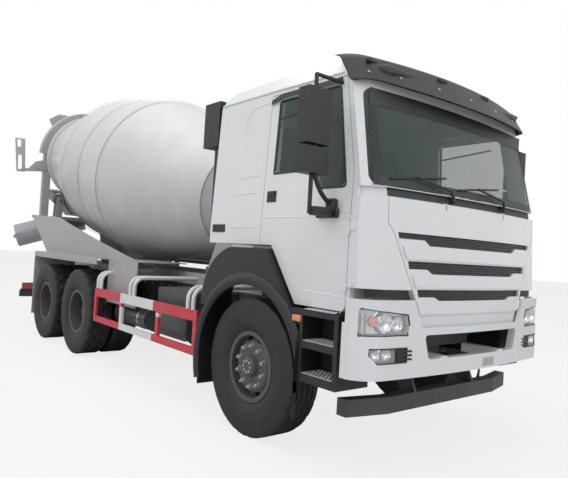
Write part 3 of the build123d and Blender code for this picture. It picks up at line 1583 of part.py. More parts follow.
pieces["roof_visor"] = roof_visor.part

# ---- Air intake behind the cab ------------------------------------------------------------------
intake_y = 960
with BuildPart() as air_intake:
    with Locations((cab_back_x - 150, -intake_y, 2670)):
        Box(260, 300, 420)
    with Locations((cab_back_x - 75, -intake_y, 2120)):
        Box(110, 220, 700)
    with Locations((cab_back_x - 10 - seat_gap, -intake_y, 2300)):
        Box(20, 100, 200)
pieces["air_intake"] = air_intake.part

# ---- Seats, dashboard and steering wheel --------------------------------------------------------
cabin_floor_z = cab_floor_z + cab_wall
seat_y = 640
seat_x = front_axle_x + 150

with BuildPart() as cab_interior:
    with Locations(*[(seat_x - 60, y, cabin_floor_z + 150) for y in (-seat_y, seat_y)]):
        Box(440, 460, 300)
    with BuildSketch(Plane.XZ.offset(seat_y - 230)):
        with BuildLine():
            Polyline(
                (seat_x - 190, cabin_floor_z + 200),
                (seat_x - 300, cabin_floor_z + 900),
                (seat_x - 400, cabin_floor_z + 890),
                (seat_x - 280, cabin_floor_z + 200),
                close=True,
            )
        make_face()
    extrude(amount=460)
    with BuildSketch(Plane.XZ.offset(-seat_y - 230)):
        with BuildLine():
            Polyline(
                (seat_x - 190, cabin_floor_z + 200),
                (seat_x - 300, cabin_floor_z + 900),
                (seat_x - 400, cabin_floor_z + 890),
                (seat_x - 280, cabin_floor_z + 200),
                close=True,
            )
        make_face()
    extrude(amount=460)
    with BuildSketch(Plane.XZ):
        with BuildLine():
            Polyline(
                (front_panel_x - seat_gap, cabin_floor_z),
                (front_panel_x - seat_gap, lid_top_z - 20),
                (front_panel_x - 120, lid_top_z + 40),
                (front_panel_x - 260, lid_top_z - 40),
                (front_panel_x - 200, cabin_floor_z),
                close=True,
            )
        make_face()
    extrude(amount=cab_half_width - cab_wall - panel_gap - 40, both=True)
    column_plane, column_length = straight(
        (front_panel_x - 200, seat_y, lid_top_z - 40), (front_panel_x - 400, seat_y, lid_top_z + 90)
    )
    with Locations(column_plane):
        Cylinder(28, column_length)
    with Locations(Plane(origin=(front_panel_x - 395, seat_y, lid_top_z + 87), z_dir=column_plane.z_dir)):
        Torus(220, 15)
        Box(440, 36, 16)
    with Locations((cab_back_x + cab_wall + 200, 0, cabin_floor_z + 175)):
        Box(400 - 2 * seat_gap, 1900, 350)
pieces["cab_interior"] = cab_interior.part

# ---- Mirrors on the doors -----------------------------------------------------------------------
mirror_y = 1350
with BuildPart() as mirror_head:
    with Locations((front_axle_x + 860, -mirror_y, 2440)):
        Box(110, 210, 380)
    with Locations((front_axle_x + 860, -mirror_y, 2140)):
        Box(110, 210, 180)
    with Locations((front_axle_x + 860, -mirror_y, 2260)):
        Cylinder(15, 960)
    with BuildSketch(Plane.XZ.offset(cab_half_width + seat_gap)):
        with Locations((front_axle_x + 890, 1800)):
            Rectangle(60, 60)
    extrude(amount=mirror_y - cab_half_width - seat_gap)
    with BuildSketch(Plane.XZ.offset(cab_side_y(2735) + 1)):
        with Locations((front_axle_x + 860, 2735)):
            Circle(14)
    extrude(amount=mirror_y - cab_side_y(2735) - 1)
pieces["mirrors_r"] = mirror_head.part
pieces["mirrors_l"] = mirrored(mirror_head.part)

# ==== Steering knuckles and wheels ===============================================================
ear_gap = 2
ear_height = 35
ear_radius = 52
front_wheel_y = front_track / 2

with BuildPart() as knuckle:
    for ear_z in (boss_top + ear_gap + ear_height / 2, boss_bottom - ear_gap - ear_height / 2):
        with Locations((front_axle_x, -kingpin_y, ear_z)):
            Cylinder(ear_radius, ear_height)
        with Locations((front_axle_x, -kingpin_y - 40, ear_z)):
            Box(2 * ear_radius, 60, ear_height)
    with Locations((front_axle_x, -kingpin_y, (boss_bottom + boss_top) / 2)):
        Cylinder(kingpin_radius, boss_top - boss_bottom + 2 * ear_gap + 2 * ear_height)
    with Locations((front_axle_x, -kingpin_y - 70, axle_z)):
        Box(150, 20, boss_top - boss_bottom + 2 * ear_gap + 2 * ear_height)
    with BuildSketch(Plane(origin=(front_axle_x, -kingpin_y - 70, axle_z), x_dir=(1, 0, 0), z_dir=(0, -1, 0))):
        Circle(spindle_radius)
    extrude(amount=180)
pieces["knuckle_r"] = knuckle.part
pieces["knuckle_l"] = mirrored(knuckle.part)


def tyre_section():
    """Half-section of a tyre about its own middle: axial place and radius."""
    half_width = tyre_width / 2
    bead = rim_width / 2 - bead_gap
    return [
        (bead, rim_radius),
        (bead, rim_radius + flange_height),
        (half_width, tyre_radius - 165),
        (half_width - 12, tyre_radius - 30),
        (half_width - 38, tyre_radius),
    ]


def tyre(axle_x, middle_y):
    """One tyre on the right side."""
    section = tyre_section()
    with BuildPart() as ring:
        with BuildSketch(wheel_plane(axle_x, middle_y)):
            with BuildLine():
                Polyline(*section, *[(-across, radius) for across, radius in reversed(section)], close=True)
            make_face()
        revolve(axis=Axis((axle_x, middle_y, axle_z), (0, 1, 0)))
    return ring.part


def hand_holes(axle_x, middle_y, inner_across, outer_across):
    """Ring of slots that pierces a wheel disc between two axial places."""
    with BuildPart() as slots:
        with BuildSketch(Plane.XZ.offset(-middle_y + inner_across)):
            with Locations((axle_x, axle_z)):
                with PolarLocations(hand_hole_circle, hand_hole_count):
                    SlotOverall(hand_hole_length, hand_hole_width, rotation=90)
        extrude(amount=outer_across - inner_across)
    return slots.part


def rim(axle_x, middle_y, disc, hub):
    """One wheel: rim, disc and hub. disc and hub are sections given as axial place and radius."""
    outer = rim_radius - bead_gap
    half = rim_width / 2
    with BuildPart() as wheel:
        with BuildSketch(wheel_plane(axle_x, middle_y)):
            with BuildLine():
                Polyline(
                    (-half - flange_wall, outer - rim_wall),
                    (-half - flange_wall, outer + flange_height),
                    (-half, outer + flange_height),
                    (-half, outer),
                    (half, outer),
                    (half, outer + flange_height),
                    (half + flange_wall, outer + flange_height),
                    (half + flange_wall, outer - rim_wall),
                    close=True,
                )
            make_face()
            with BuildLine():
                Polyline(*disc, close=True)
            make_face()
            with BuildLine():
                Polyline(*hub, close=True)
            make_face()
        revolve(axis=Axis((axle_x, middle_y, axle_z), (0, 1, 0)))
    return wheel.part


spindle_bore = spindle_radius + pin_gap
hand_hole_circle = 226
hand_hole_count = 10
hand_hole_length = 76
hand_hole_width = 34
barrel_inner = rim_radius - bead_gap - rim_wall
front_disc = [
    (40, barrel_inner + 3),
    (60, barrel_inner + 3),
    (100, 190),
    (100, 100),
    (86, 100),
    (86, 190),
    (46, 235),
]
front_hub = [
    (-50, spindle_bore),
    (100, spindle_bore),
    (100, 0.0),
    (150, 0.0),
    (150, 60),
    (135, 80),
    (100, 88),
    (100, 110),
    (40, 110),
    (30, 205),
    (-95, 205),
    (-95, 193),
    (16, 193),
    (20, 95),
    (-50, 95),
]
with BuildPart() as front_wheel:
    add(rim(front_axle_x, -front_wheel_y, front_disc, front_hub))
    add(hand_holes(front_axle_x, -front_wheel_y, 36, 120), mode=Mode.SUBTRACT)
front_wheel_rim = front_wheel.part
front_tyre = tyre(front_axle_x, -front_wheel_y)
pieces["rim_front_r"] = front_wheel_rim
pieces["rim_front_l"] = mirrored(front_wheel_rim)
pieces["tyre_front_r"] = front_tyre
pieces["tyre_front_l"] = mirrored(front_tyre)

twin_half = twin_spacing / 2
rear_bore = rear_spindle_radius + pin_gap
rear_hub_inner_y = housing_end_y + 12
outer_disc = [
    (-60, barrel_inner + 3),
    (-44, barrel_inner + 3),
    (-twin_half + disc_wall, 200),
    (-twin_half + disc_wall, 110),
    (-twin_half, 110),
    (-twin_half, 200),
]
outer_hub = [
    (-twin_half, rear_bore),
    (spindle_end_y - rear_track / 2 - twin_half + 8, rear_bore),
    (spindle_end_y - rear_track / 2 - twin_half + 8, 0.0),
    (20, 0.0),
    (20, 90),
    (0, 112),
    (-twin_half, 112),
]
inner_disc = [(-across, radius) for across, radius in outer_disc]
inner_hub = [
    (twin_half, rear_bore),
    (rear_hub_inner_y - rear_track / 2 + twin_half, rear_bore),
    (rear_hub_inner_y - rear_track / 2 + twin_half, 205),
    (60, 205),
    (80, 120),
    (twin_half, 120),
]
for place, axle_x in (("mid", mid_axle_x), ("rear", rear_axle_x)):
    outer_y = -(rear_track / 2 + twin_half)
    inner_y = -(rear_track / 2 - twin_half)
    with BuildPart() as twin_rims:
        add(rim(axle_x, outer_y, outer_disc, outer_hub))
        add(hand_holes(axle_x, outer_y, -165, -30), mode=Mode.SUBTRACT)
        add(rim(axle_x, inner_y, inner_disc, inner_hub))
    with BuildPart() as twin_tyres:
        add(tyre(axle_x, outer_y))
        add(tyre(axle_x, inner_y))
    pieces[f"rims_{place}_r"] = twin_rims.part
    pieces[f"rims_{place}_l"] = mirrored(twin_rims.part)
    pieces[f"tyres_{place}_r"] = twin_tyres.part
    pieces[f"tyres_{place}_l"] = mirrored(twin_tyres.part)

# ==== Drum =======================================================================================
drum_section_plane = Plane(origin=drum_plane.origin, x_dir=drum_plane.z_dir, z_dir=(0, 1, 0))
radial_sign = drum_section_plane.y_dir.Z
drum_split = 2700
blade_depth = 260


def drum_ring_part(points):
    """Solid of revolution about the drum's axis from runs and radii."""
    with BuildPart() as turned:
        with BuildSketch(drum_section_plane):
            with BuildLine():
                Polyline(*[(run, radius * radial_sign) for run, radius in points], close=True)
            make_face()
        revolve(axis=drum_axis)
    return turned.part


cone_slope = (drum_radius - cone_end_radius) / (ring_middle - barrel_end)
pieces["drum_shell"] = drum_ring_part([
    (0, 0),
    (0, 300),
    (head_seam[0], head_seam[1]),
    (front_cone_end, drum_radius),
    (drum_split, drum_radius),
    (drum_split, drum_radius - drum_wall),
    (front_cone_end, drum_radius - drum_wall),
    (head_seam[0] + drum_wall, head_seam[1] - drum_wall),
    (20, 290),
    (20, 0),
])
pieces["drum_mouth"] = drum_ring_part([
    (drum_split, drum_radius),
    (barrel_end, drum_radius),
    (ring_middle - ring_width / 2, cone_end_radius),
    (ring_middle - ring_width / 2, ring_radius),
    (ring_middle + ring_width / 2, ring_radius),
    (ring_middle + ring_width / 2, cone_end_radius - 10),
    (mouth_end, mouth_radius),
    (mouth_end, mouth_radius - drum_wall),
    (ring_middle + ring_width / 2, cone_end_radius - 10 - drum_wall),
    (ring_middle - ring_width / 2, cone_end_radius - drum_wall),
    (barrel_end, drum_radius - drum_wall),
    (drum_split, drum_radius - drum_wall),
])

# ---- Support rollers ----------------------------------------------------------------------------
for side, sign in (("r", -1), ("l", 1)):
    with BuildPart() as roller:
        with BuildSketch(roller_plane(sign).offset(-roller_width / 2)):
            Circle(roller_radius)
        extrude(amount=roller_width)
        with BuildSketch(roller_plane(sign).offset(-roller_width / 2 - 60)):
            Circle(roller_shaft_radius)
        extrude(amount=roller_width + 120)
    pieces[f"roller_{side}"] = roller.part

# ==== Discharge chute ============================================================================
chute_slew_angle = 70
chute_tilt_angle = 19
chute_root_z = 1900
chute_pivot_z = 1630
chute_radius = 210
chute_wall = 6
chute_length = 1140
chute_back = 120
extension_length = 620
fold_gap = 6
sleeve_wall = 20
sleeve_bottom = post_bottom + 80
sleeve_top = 1535
pivot_pin_radius = 14
ear_half_gap = 38
ear_wall = 14
jack_base_run = 100
jack_base_z = 1350
jack_top_run = 500
jack_top_z = 1440
jack_barrel_radius = 28
jack_rod_radius = 14
jack_barrel_length = 250
jack_rod_length = 280
jack_pin_radius = 10
jack_eye_radius = 30
jack_open_gap = 8
jack_eye_half = 11
jack_lug_half_gap = 17
jack_lug_wall = 10

slew = math.radians(chute_slew_angle)
tilt = math.radians(chute_tilt_angle)
chute_way = Vector(-math.cos(slew), -math.sin(slew), 0)
chute_side = Vector(math.sin(slew), -math.cos(slew), 0)
slew_origin = Vector(funnel_outlet_x, 0, 0)
side_plane = Plane(origin=slew_origin, x_dir=chute_way, z_dir=chute_side * -1)
trough_plane = Plane(
    origin=slew_origin + Vector(0, 0, chute_root_z),
    x_dir=chute_side,
    z_dir=chute_way * math.cos(tilt) - Vector(0, 0, math.sin(tilt)),
)
jack_base = side_plane.from_local_coords(Vector(jack_base_run, jack_base_z, 0))
jack_top = side_plane.from_local_coords(Vector(jack_top_run, jack_top_z, 0))
jack_plane = Plane(origin=jack_base, x_dir=chute_side, z_dir=jack_top - jack_base)
jack_reach = (jack_top - jack_base).length

# ---- Slewing bracket ----------------------------------------------------------------------------
with BuildPart() as chute_bracket:
    with BuildSketch(Plane.XY.offset(sleeve_bottom)):
        with Locations((funnel_outlet_x, 0)):
            Circle(post_radius + pin_gap + sleeve_wall)
    extrude(amount=sleeve_top - sleeve_bottom)
    for ear_side in (ear_half_gap, -ear_half_gap - ear_wall):
        with BuildSketch(side_plane.offset(ear_side)):
            with BuildLine():
                Polyline((-50, 1440), (50, 1440), (40, chute_pivot_z + 25), (-40, chute_pivot_z + 25), close=True)
            make_face()
            with Locations((0, chute_pivot_z)):
                Circle(pivot_pin_radius + pin_gap, mode=Mode.SUBTRACT)
        extrude(amount=ear_wall)
    for lug_side in (jack_lug_half_gap, -jack_lug_half_gap - jack_lug_wall):
        with BuildSketch(side_plane.offset(lug_side)):
            with BuildLine():
                Polyline(
                    (0, sleeve_bottom),
                    (jack_base_run + 30, sleeve_bottom),
                    (jack_base_run + 30, jack_base_z + 25),
                    (jack_base_run - 20, jack_base_z + 60),
                    (0, jack_base_z + 90),
                    close=True,
                )
            make_face()
        extrude(amount=jack_lug_wall)
    with BuildSketch(side_plane.offset(-jack_lug_half_gap)):
        with Locations((jack_base_run, jack_base_z)):
            Circle(jack_pin_radius)
    extrude(amount=2 * jack_lug_half_gap)
    with BuildSketch(Plane.XY.offset(sleeve_bottom)):
        with Locations((funnel_outlet_x, 0)):
            Circle(post_radius + pin_gap)
    extrude(amount=chute_pivot_z - sleeve_bottom, mode=Mode.SUBTRACT)
pieces["chute_bracket"] = chute_bracket.part

# ---- Chute: half-round trough -------------------------------------------------------------------
with BuildPart() as chute:
    with BuildSketch(trough_plane.offset(-chute_back)):
        Circle(chute_radius)
        Circle(chute_radius - chute_wall, mode=Mode.SUBTRACT)
        with Locations((0, chute_radius)):
            Rectangle(3 * chute_radius, 2 * chute_radius, mode=Mode.SUBTRACT)
    extrude(amount=chute_length + chute_back)
    with BuildSketch(side_plane.offset(-ear_half_gap + 2)):
        with BuildLine():
            Polyline((-45, 1690), (60, 1668), (30, chute_pivot_z - 22), (-30, chute_pivot_z - 22), close=True)
        make_face()
    extrude(amount=2 * ear_half_gap - 4)
    with BuildSketch(side_plane.offset(-ear_half_gap - ear_wall)):
        with Locations((0, chute_pivot_z)):
            Circle(pivot_pin_radius)
    extrude(amount=2 * ear_half_gap + 2 * ear_wall)
    for lug_side in (jack_lug_half_gap, -jack_lug_half_gap - jack_lug_wall):
        with BuildSketch(side_plane.offset(lug_side)):
            with BuildLine():
                Polyline(
                    (jack_top_run - 40, jack_top_z + 80),
                    (jack_top_run + 60, jack_top_z + 50),
                    (jack_top_run + 20, jack_top_z - 20),
                    (jack_top_run - 20, jack_top_z - 20),
                    close=True,
                )
            make_face()
        extrude(amount=jack_lug_wall)
    with BuildSketch(side_plane.offset(-jack_lug_half_gap)):
        with Locations((jack_top_run, jack_top_z)):
            Circle(jack_pin_radius)
    extrude(amount=2 * jack_lug_half_gap)
    with BuildSketch(trough_plane.offset(-chute_back)):
        Circle(chute_radius - chute_wall)
    extrude(amount=chute_length + chute_back, mode=Mode.SUBTRACT)
    hinge_plane = Plane(
        origin=trough_plane.from_local_coords(Vector(0, 0, chute_length)),
        x_dir=trough_plane.z_dir,
        z_dir=trough_plane.x_dir * -1,
    )
    for lug_side in (chute_radius - 2, -chute_radius - 8):
        with BuildSketch(hinge_plane.offset(lug_side)):
            with BuildLine():
                Polyline((-90, -40), (30, -40), (30, 14), (0, 14), (-20, -2), (-90, -2), close=True)
            make_face()
            with Locations((12, fold_gap / 2)):
                Circle(8 + pin_gap, mode=Mode.SUBTRACT)
        extrude(amount=10)
pieces["chute"] = chute.part

# ---- Folding extension, lying upside down on the chute ------------------------------------------
with BuildPart() as chute_extension:
    with BuildSketch(trough_plane.offset(chute_length - extension_length - 12)):
        with Locations((0, fold_gap)):
            Circle(chute_radius)
            Circle(chute_radius - chute_wall, mode=Mode.SUBTRACT)
            with Locations((0, -chute_radius)):
                Rectangle(3 * chute_radius, 2 * chute_radius, mode=Mode.SUBTRACT)
    extrude(amount=extension_length)
    for lug_side in (chute_radius + 13, -chute_radius - 23):
        with BuildSketch(hinge_plane.offset(lug_side)):
            with BuildLine():
                Polyline((-110, 30), (-60, 45), (25, 20), (25, -15), (0, -15), (-30, 8), (-110, 8), close=True)
            make_face()
        extrude(amount=10)
    with BuildSketch(hinge_plane.offset(chute_radius - 2)):
        with Locations((12, fold_gap / 2)):
            Circle(8)
    extrude(amount=20)
    with BuildSketch(hinge_plane.offset(-chute_radius - 18)):
        with Locations((12, fold_gap / 2)):
            Circle(8)
    extrude(amount=20)
    for boss_side in (chute_radius - 4, -chute_radius - 14):
        with BuildSketch(hinge_plane.offset(boss_side)):
            with Locations((-90, 24)):
                Rectangle(36, 22)
        extrude(amount=18)
pieces["chute_extension"] = chute_extension.part

# ---- Chute jack: barrel and rod -----------------------------------------------------------------
with BuildPart() as jack_barrel:
    with BuildSketch(jack_plane.offset(50)):
        Circle(jack_barrel_radius)
    extrude(amount=jack_barrel_length - 50)
    with BuildSketch(side_plane.offset(-jack_eye_half)):
        with Locations((jack_base_run, jack_base_z)):
            Circle(jack_eye_radius)
    extrude(amount=2 * jack_eye_half)
    with BuildSketch(jack_plane.offset(20)):
        Rectangle(2 * jack_eye_half, 2 * jack_eye_half)
    extrude(amount=40)
    with BuildSketch(side_plane.offset(-jack_eye_half)):
        with Locations((jack_base_run, jack_base_z)):
            Circle(jack_pin_radius + pin_gap)
    extrude(amount=2 * jack_eye_half, mode=Mode.SUBTRACT)
    with BuildSketch(jack_plane.offset(60)):
        Circle(jack_rod_radius + pin_gap)
    extrude(amount=jack_barrel_length, mode=Mode.SUBTRACT)
pieces["jack_barrel"] = jack_barrel.part

with BuildPart() as jack_rod:
    with BuildSketch(jack_plane.offset(jack_reach - jack_rod_length)):
        Circle(jack_rod_radius)
    extrude(amount=jack_rod_length - jack_pin_radius - jack_open_gap - 5)
    with BuildSketch(side_plane.offset(-jack_eye_half)):
        with Locations((jack_top_run, jack_top_z)):
            Circle(jack_eye_radius)
    extrude(amount=2 * jack_eye_half)
    with BuildSketch(side_plane.offset(-jack_eye_half - 10)):
        with Locations((jack_top_run, jack_top_z)):
            Circle(jack_pin_radius + jack_open_gap)
    extrude(amount=2 * jack_eye_half + 20, mode=Mode.SUBTRACT)
pieces["jack_rod"] = jack_rod.part

for name in pieces:
    pieces[name].label = name
    export_step(pieces[name], f"parts/{name}.step")
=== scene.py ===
"""Finishes, fittings, light and camera for a three-axle concrete mixer truck.

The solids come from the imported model. This script gives each of them its finish and adds what is too small
for the solids: tread, wheel nuts, lamp reflectors, seals, handles, wipers, seats, bolts and air lines.
All sizes are metres: +X is forward, +Y is left, +Z is up.
"""

import logging
import math
from dataclasses import dataclass, field
from enum import Enum
from typing import Callable, Iterable, Protocol, Sequence

import bmesh
import bpy
from mathutils import Matrix, Vector
from mathutils.bvhtree import BVHTree


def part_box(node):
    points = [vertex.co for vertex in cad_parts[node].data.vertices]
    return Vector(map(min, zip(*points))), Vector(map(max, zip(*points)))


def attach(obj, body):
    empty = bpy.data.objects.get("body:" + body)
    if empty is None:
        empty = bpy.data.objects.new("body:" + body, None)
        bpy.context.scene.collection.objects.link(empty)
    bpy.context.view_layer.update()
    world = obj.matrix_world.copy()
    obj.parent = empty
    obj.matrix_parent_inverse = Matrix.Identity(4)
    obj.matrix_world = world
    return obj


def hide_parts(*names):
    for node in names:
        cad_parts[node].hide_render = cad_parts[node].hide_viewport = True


log = logging.getLogger("mixer_truck")
logging.basicConfig(level=logging.INFO, format="%(name)s: %(message)s")

Point = tuple[float, float, float]
Flat = tuple[float, float]
Colour = tuple[float, float, float]


class Side(Enum):
    """Side of the truck, with the sign of Y there."""

    RIGHT = -1
    LEFT = 1

    @property
    def letter(self) -> str:
        """Letter that ends the names of this side's pieces."""
        return self.name[0].lower()


class Tread(Enum):
    """Pattern of a tyre."""

    RIB = "rib"
    LUG = "lug"


# ==== Shader maths ===============================================================================


class Sock:
    """Wraps one shader value so that arithmetic on it adds Math nodes."""

    def __init__(self, shader: "Shader", link: bpy.types.NodeSocket) -> None:
        """Keeps the value's shader and its output socket."""
        self.shader = shader
        self.link = link

    def _math(self, operation: str, first: "Sock | float", second: "Sock | float") -> "Sock":
        """Adds one Math node.

        Args:
            operation: Name of the operation.
            first: First input.
            second: Second input.

        Returns:
            The node's output.
        """
        return self.shader.node("ShaderNodeMath", {"operation": operation}, {0: first, 1: second})

    def __add__(self, other: "Sock | float") -> "Sock":
        """self + other."""
        return self._math("ADD", self, other)

    def __radd__(self, other: float) -> "Sock":
        """other + self."""
        return self._math("ADD", other, self)

    def __sub__(self, other: "Sock | float") -> "Sock":
        """self - other."""
        return self._math("SUBTRACT", self, other)

    def __rsub__(self, other: float) -> "Sock":
        """other - self."""
        return self._math("SUBTRACT", other, self)

    def __mul__(self, other: "Sock | float") -> "Sock":
        """self * other."""
        return self._math("MULTIPLY", self, other)

    def __rmul__(self, other: float) -> "Sock":
        """other * self."""
        return self._math("MULTIPLY", other, self)

    def __truediv__(self, other: "Sock | float") -> "Sock":
        """self / other."""
        return self._math("DIVIDE", self, other)

    def __gt__(self, other: "Sock | float") -> "Sock":
        """1 where self is greater than other, otherwise 0."""
        return self._math("GREATER_THAN", self, other)

    def __lt__(self, other: "Sock | float") -> "Sock":
        """1 where self is less than other, otherwise 0."""
        return self._math("LESS_THAN", self, other)

    def wave(self, period: float) -> "Sock":
        """Place within a repeating period, from 0 to 1."""
        return self._math("FRACT", self / period, 0.0)

    def clamped(self) -> "Sock":
        """The value held between 0 and 1."""
        return self._math("MINIMUM", self._math("MAXIMUM", self, 0.0), 1.0)


class Shader:
    """Node tree of one material."""

    def __init__(self, name: str) -> None:
        """Starts an empty material with that name."""
        self.material = bpy.data.materials.new(name)
        self.material.use_nodes = True
        self.tree = self.material.node_tree
        self.tree.nodes.clear()
        self.output = self.tree.nodes.new("ShaderNodeOutputMaterial")
        self.places = self.node("ShaderNodeTexCoord", {}, {}, "Object")

    def node(
        self,
        kind: str,
        settings: dict[str, object] | None = None,
        inputs: dict[int | str, object] | None = None,
        output: int | str = 0,
    ) -> Sock:
        """Adds one node.

        Args:
            kind: The node's type.
            settings: Attributes, set first. "stops" gives a ramp's stops as place and grey or colour.
            inputs: Values or links of its sockets, by number or name.
            output: The output to return.

        Returns:
            That output, wrapped.
        """
        made = self.tree.nodes.new(kind)
        for key, value in (settings or {}).items():
            if key == "stops":
                ramp = made.color_ramp
                for index, (place, colour) in enumerate(value):
                    stop = ramp.elements[index] if index < 2 else ramp.elements.new(place)
                    stop.position = place
                    shade = colour if isinstance(colour, tuple) else (colour, colour, colour)
                    stop.color = (*shade, 1.0)
            else:
                setattr(made, key, value)
        for key, value in (inputs or {}).items():
            socket = made.inputs[key]
            if isinstance(value, Sock):
                self.tree.links.new(value.link, socket)
            elif isinstance(value, tuple) and len(value) == 3 and socket.type == "RGBA":
                socket.default_value = (*value, 1.0)
            else:
                socket.default_value = value
        return Sock(self, made.outputs[output])

    def axis(self, name: str) -> Sock:
        """Place along X, Y or Z on the object, in metres."""
        return self.node("ShaderNodeSeparateXYZ", {}, {0: self.places}, name)

    def noise(self, scale: float, detail: float = 3.0, roughness: float = 0.55) -> Sock:
        """Noise from 0 to 1, with features of about 1 / scale metres."""
        inputs = {"Vector": self.places, "Scale": scale, "Detail": detail, "Roughness": roughness}
        return self.node("ShaderNodeTexNoise", {}, inputs)

    def stretched(self, scale: Point) -> Sock:
        """Object coordinates scaled along each axis."""
        return self.node("ShaderNodeMapping", {}, {"Vector": self.places, "Scale": scale})

    def ribs(self, direction: str, scale: float) -> Sock:
        """Waves along Y or Z, from 0 to 1."""
        inputs = {"Vector": self.places, "Scale": scale}
        return self.node("ShaderNodeTexWave", {"bands_direction": direction}, inputs)

    def ramp(self, value: Sock, *stops: tuple[float, object]) -> Sock:
        """The value through a colour ramp."""
        return self.node("ShaderNodeValToRGB", {"stops": stops}, {0: value})

    def mix(self, mask: Sock | float, under: Sock | Colour, over: Sock | Colour) -> Sock:
        """Colour under, covered by over where the mask is 1."""
        return self.node("ShaderNodeMix", {"data_type": "RGBA"}, {0: mask, 6: under, 7: over}, 2)

    def multiplied(self, colour: Colour, tone: Sock) -> Sock:
        """Colour darkened by a tone."""
        settings = {"data_type": "RGBA", "blend_type": "MULTIPLY"}
        return self.node("ShaderNodeMix", settings, {0: 1.0, 6: colour, 7: tone}, 2)

    def bump(self, height: Sock, distance: float, strength: float = 1.0) -> Sock:
        """Normal from a height map."""
        return self.node("ShaderNodeBump", {}, {"Height": height, "Distance": distance, "Strength": strength})

    def surface(self, **inputs: object) -> bpy.types.Material:
        """Ends the material in a Principled shader.

        Args:
            inputs: Values or links by socket name, with underscores for spaces.

        Returns:
            The material.
        """
        named = {key.replace("_", " "): value for key, value in inputs.items()}
        shaded = self.node("ShaderNodeBsdfPrincipled", {}, named)
        self.tree.links.new(shaded.link, self.output.inputs[0])
        return self.material

    def glow(self, share: Sock, colour: Colour) -> None:
        """Lets a share of the surface shine by itself, in one colour.

        Args:
            share: Share of the glow, from 0 to 1.
            colour: Colour of the glow.
        """
        white = self.node("ShaderNodeEmission", {}, {"Color": colour, "Strength": 1.0})
        shaded = Sock(self, self.output.inputs[0].links[0].from_socket)
        mixed = self.node("ShaderNodeMixShader", {}, {0: share, 1: shaded, 2: white})
        self.tree.links.new(mixed.link, self.output.inputs[0])


# ==== Finishes ===================================================================================


class Finish(Protocol):
    """Anything that has a name and builds a material."""

    name: str

    def material(self) -> bpy.types.Material:
        """Builds the material."""
        ...


@dataclass(frozen=True)
class Paint:
    """Sprayed paint with orange peel, a clear coat and road dust that thickens downwards."""

    name: str
    colour: Colour
    roughness: float = 0.32
    coat: float = 0.5
    dust: float = 0.25
    dust_colour: Colour = (0.42, 0.39, 0.35)
    dust_low: float = 0.5
    dust_high: float = 2.2
    mottle: float = 0.06

    def material(self) -> bpy.types.Material:
        """Builds the material.

        Returns:
            The material.
        """
        shader = Shader(self.name)
        height = shader.axis("Z")
        fall = (1.0 - (height - self.dust_low) / (self.dust_high - self.dust_low)).clamped()
        patches = shader.ramp(shader.noise(2.3, 6.0, 0.62), (0.38, 0.0), (0.72, 1.0))
        mask = (patches * (fall * 0.8 + 0.2) * self.dust).clamped()
        tone = shader.ramp(shader.noise(0.9, 2.0), (0.3, 1.0 - self.mottle), (0.7, 1.0))
        base = shader.multiplied(self.colour, tone)
        colour = shader.mix(mask, base, self.dust_colour)
        peel = shader.noise(220.0, 2.0)
        return shader.surface(
            Base_Color=colour,
            Roughness=mask * 0.35 + self.roughness,
            Coat_Weight=self.coat * (1.0 - mask),
            Coat_Roughness=0.12,
            Normal=shader.bump(peel, 0.0004, 0.25),
        )


@dataclass(frozen=True)
class Plastic:
    """Moulded plastic or rubbery trim with a fine grain."""

    name: str
    colour: Colour
    roughness: float = 0.5
    grain: float = 0.0006
    dust: float = 0.12
    dust_colour: Colour = (0.36, 0.34, 0.31)

    def material(self) -> bpy.types.Material:
        """Builds the material.

        Returns:
            The material.
        """
        shader = Shader(self.name)
        patches = shader.ramp(shader.noise(3.1, 5.0, 0.6), (0.42, 0.0), (0.78, 1.0))
        mask = (patches * self.dust).clamped()
        colour = shader.mix(mask, self.colour, self.dust_colour)
        grain = shader.node("ShaderNodeTexVoronoi", {}, {"Vector": shader.places, "Scale": 600.0}, "Distance")
        return shader.surface(
            Base_Color=colour,
            Roughness=mask * 0.3 + self.roughness,
            Normal=shader.bump(grain, self.grain, 0.5),
        )


@dataclass(frozen=True)
class Rubber:
    """Tyre rubber, greyer with dust on the sidewalls and in the tread."""

    name: str
    colour: Colour = (0.012, 0.012, 0.0125)
    dust: float = 0.22
    dust_colour: Colour = (0.085, 0.080, 0.075)

    def material(self) -> bpy.types.Material:
        """Builds the material.

        Returns:
            The material.
        """
        shader = Shader(self.name)
        patches = shader.ramp(shader.noise(7.0, 6.0, 0.65), (0.35, 0.0), (0.8, 1.0))
        mask = (patches * self.dust).clamped()
        return shader.surface(
            Base_Color=shader.mix(mask, self.colour, self.dust_colour),
            Roughness=mask * 0.25 + 0.62,
            Normal=shader.bump(shader.noise(160.0, 3.0), 0.0006, 0.5),
        )


@dataclass(frozen=True)
class Metal:
    """Bare or plated metal with fine streaks."""

    name: str
    colour: Colour
    roughness: float = 0.35
    metallic: float = 1.0
    rust: float = 0.0

    def material(self) -> bpy.types.Material:
        """Builds the material.

        Returns:
            The material.
        """
        shader = Shader(self.name)
        places = shader.stretched((40.0, 6.0, 40.0))
        streaks = shader.node("ShaderNodeTexNoise", {}, {"Vector": places, "Scale": 1.5, "Detail": 3.0})
        patches = shader.ramp(shader.noise(9.0, 6.0, 0.7), (0.5, 0.0), (0.7, 1.0))
        mask = (patches * self.rust).clamped()
        return shader.surface(
            Base_Color=shader.mix(mask, self.colour, (0.2, 0.11, 0.06)),
            Metallic=(1.0 - mask) * self.metallic,
            Roughness=streaks * 0.2 + (self.roughness - 0.1) + mask * 0.3,
            Normal=shader.bump(streaks, 0.0002, 0.3),
        )


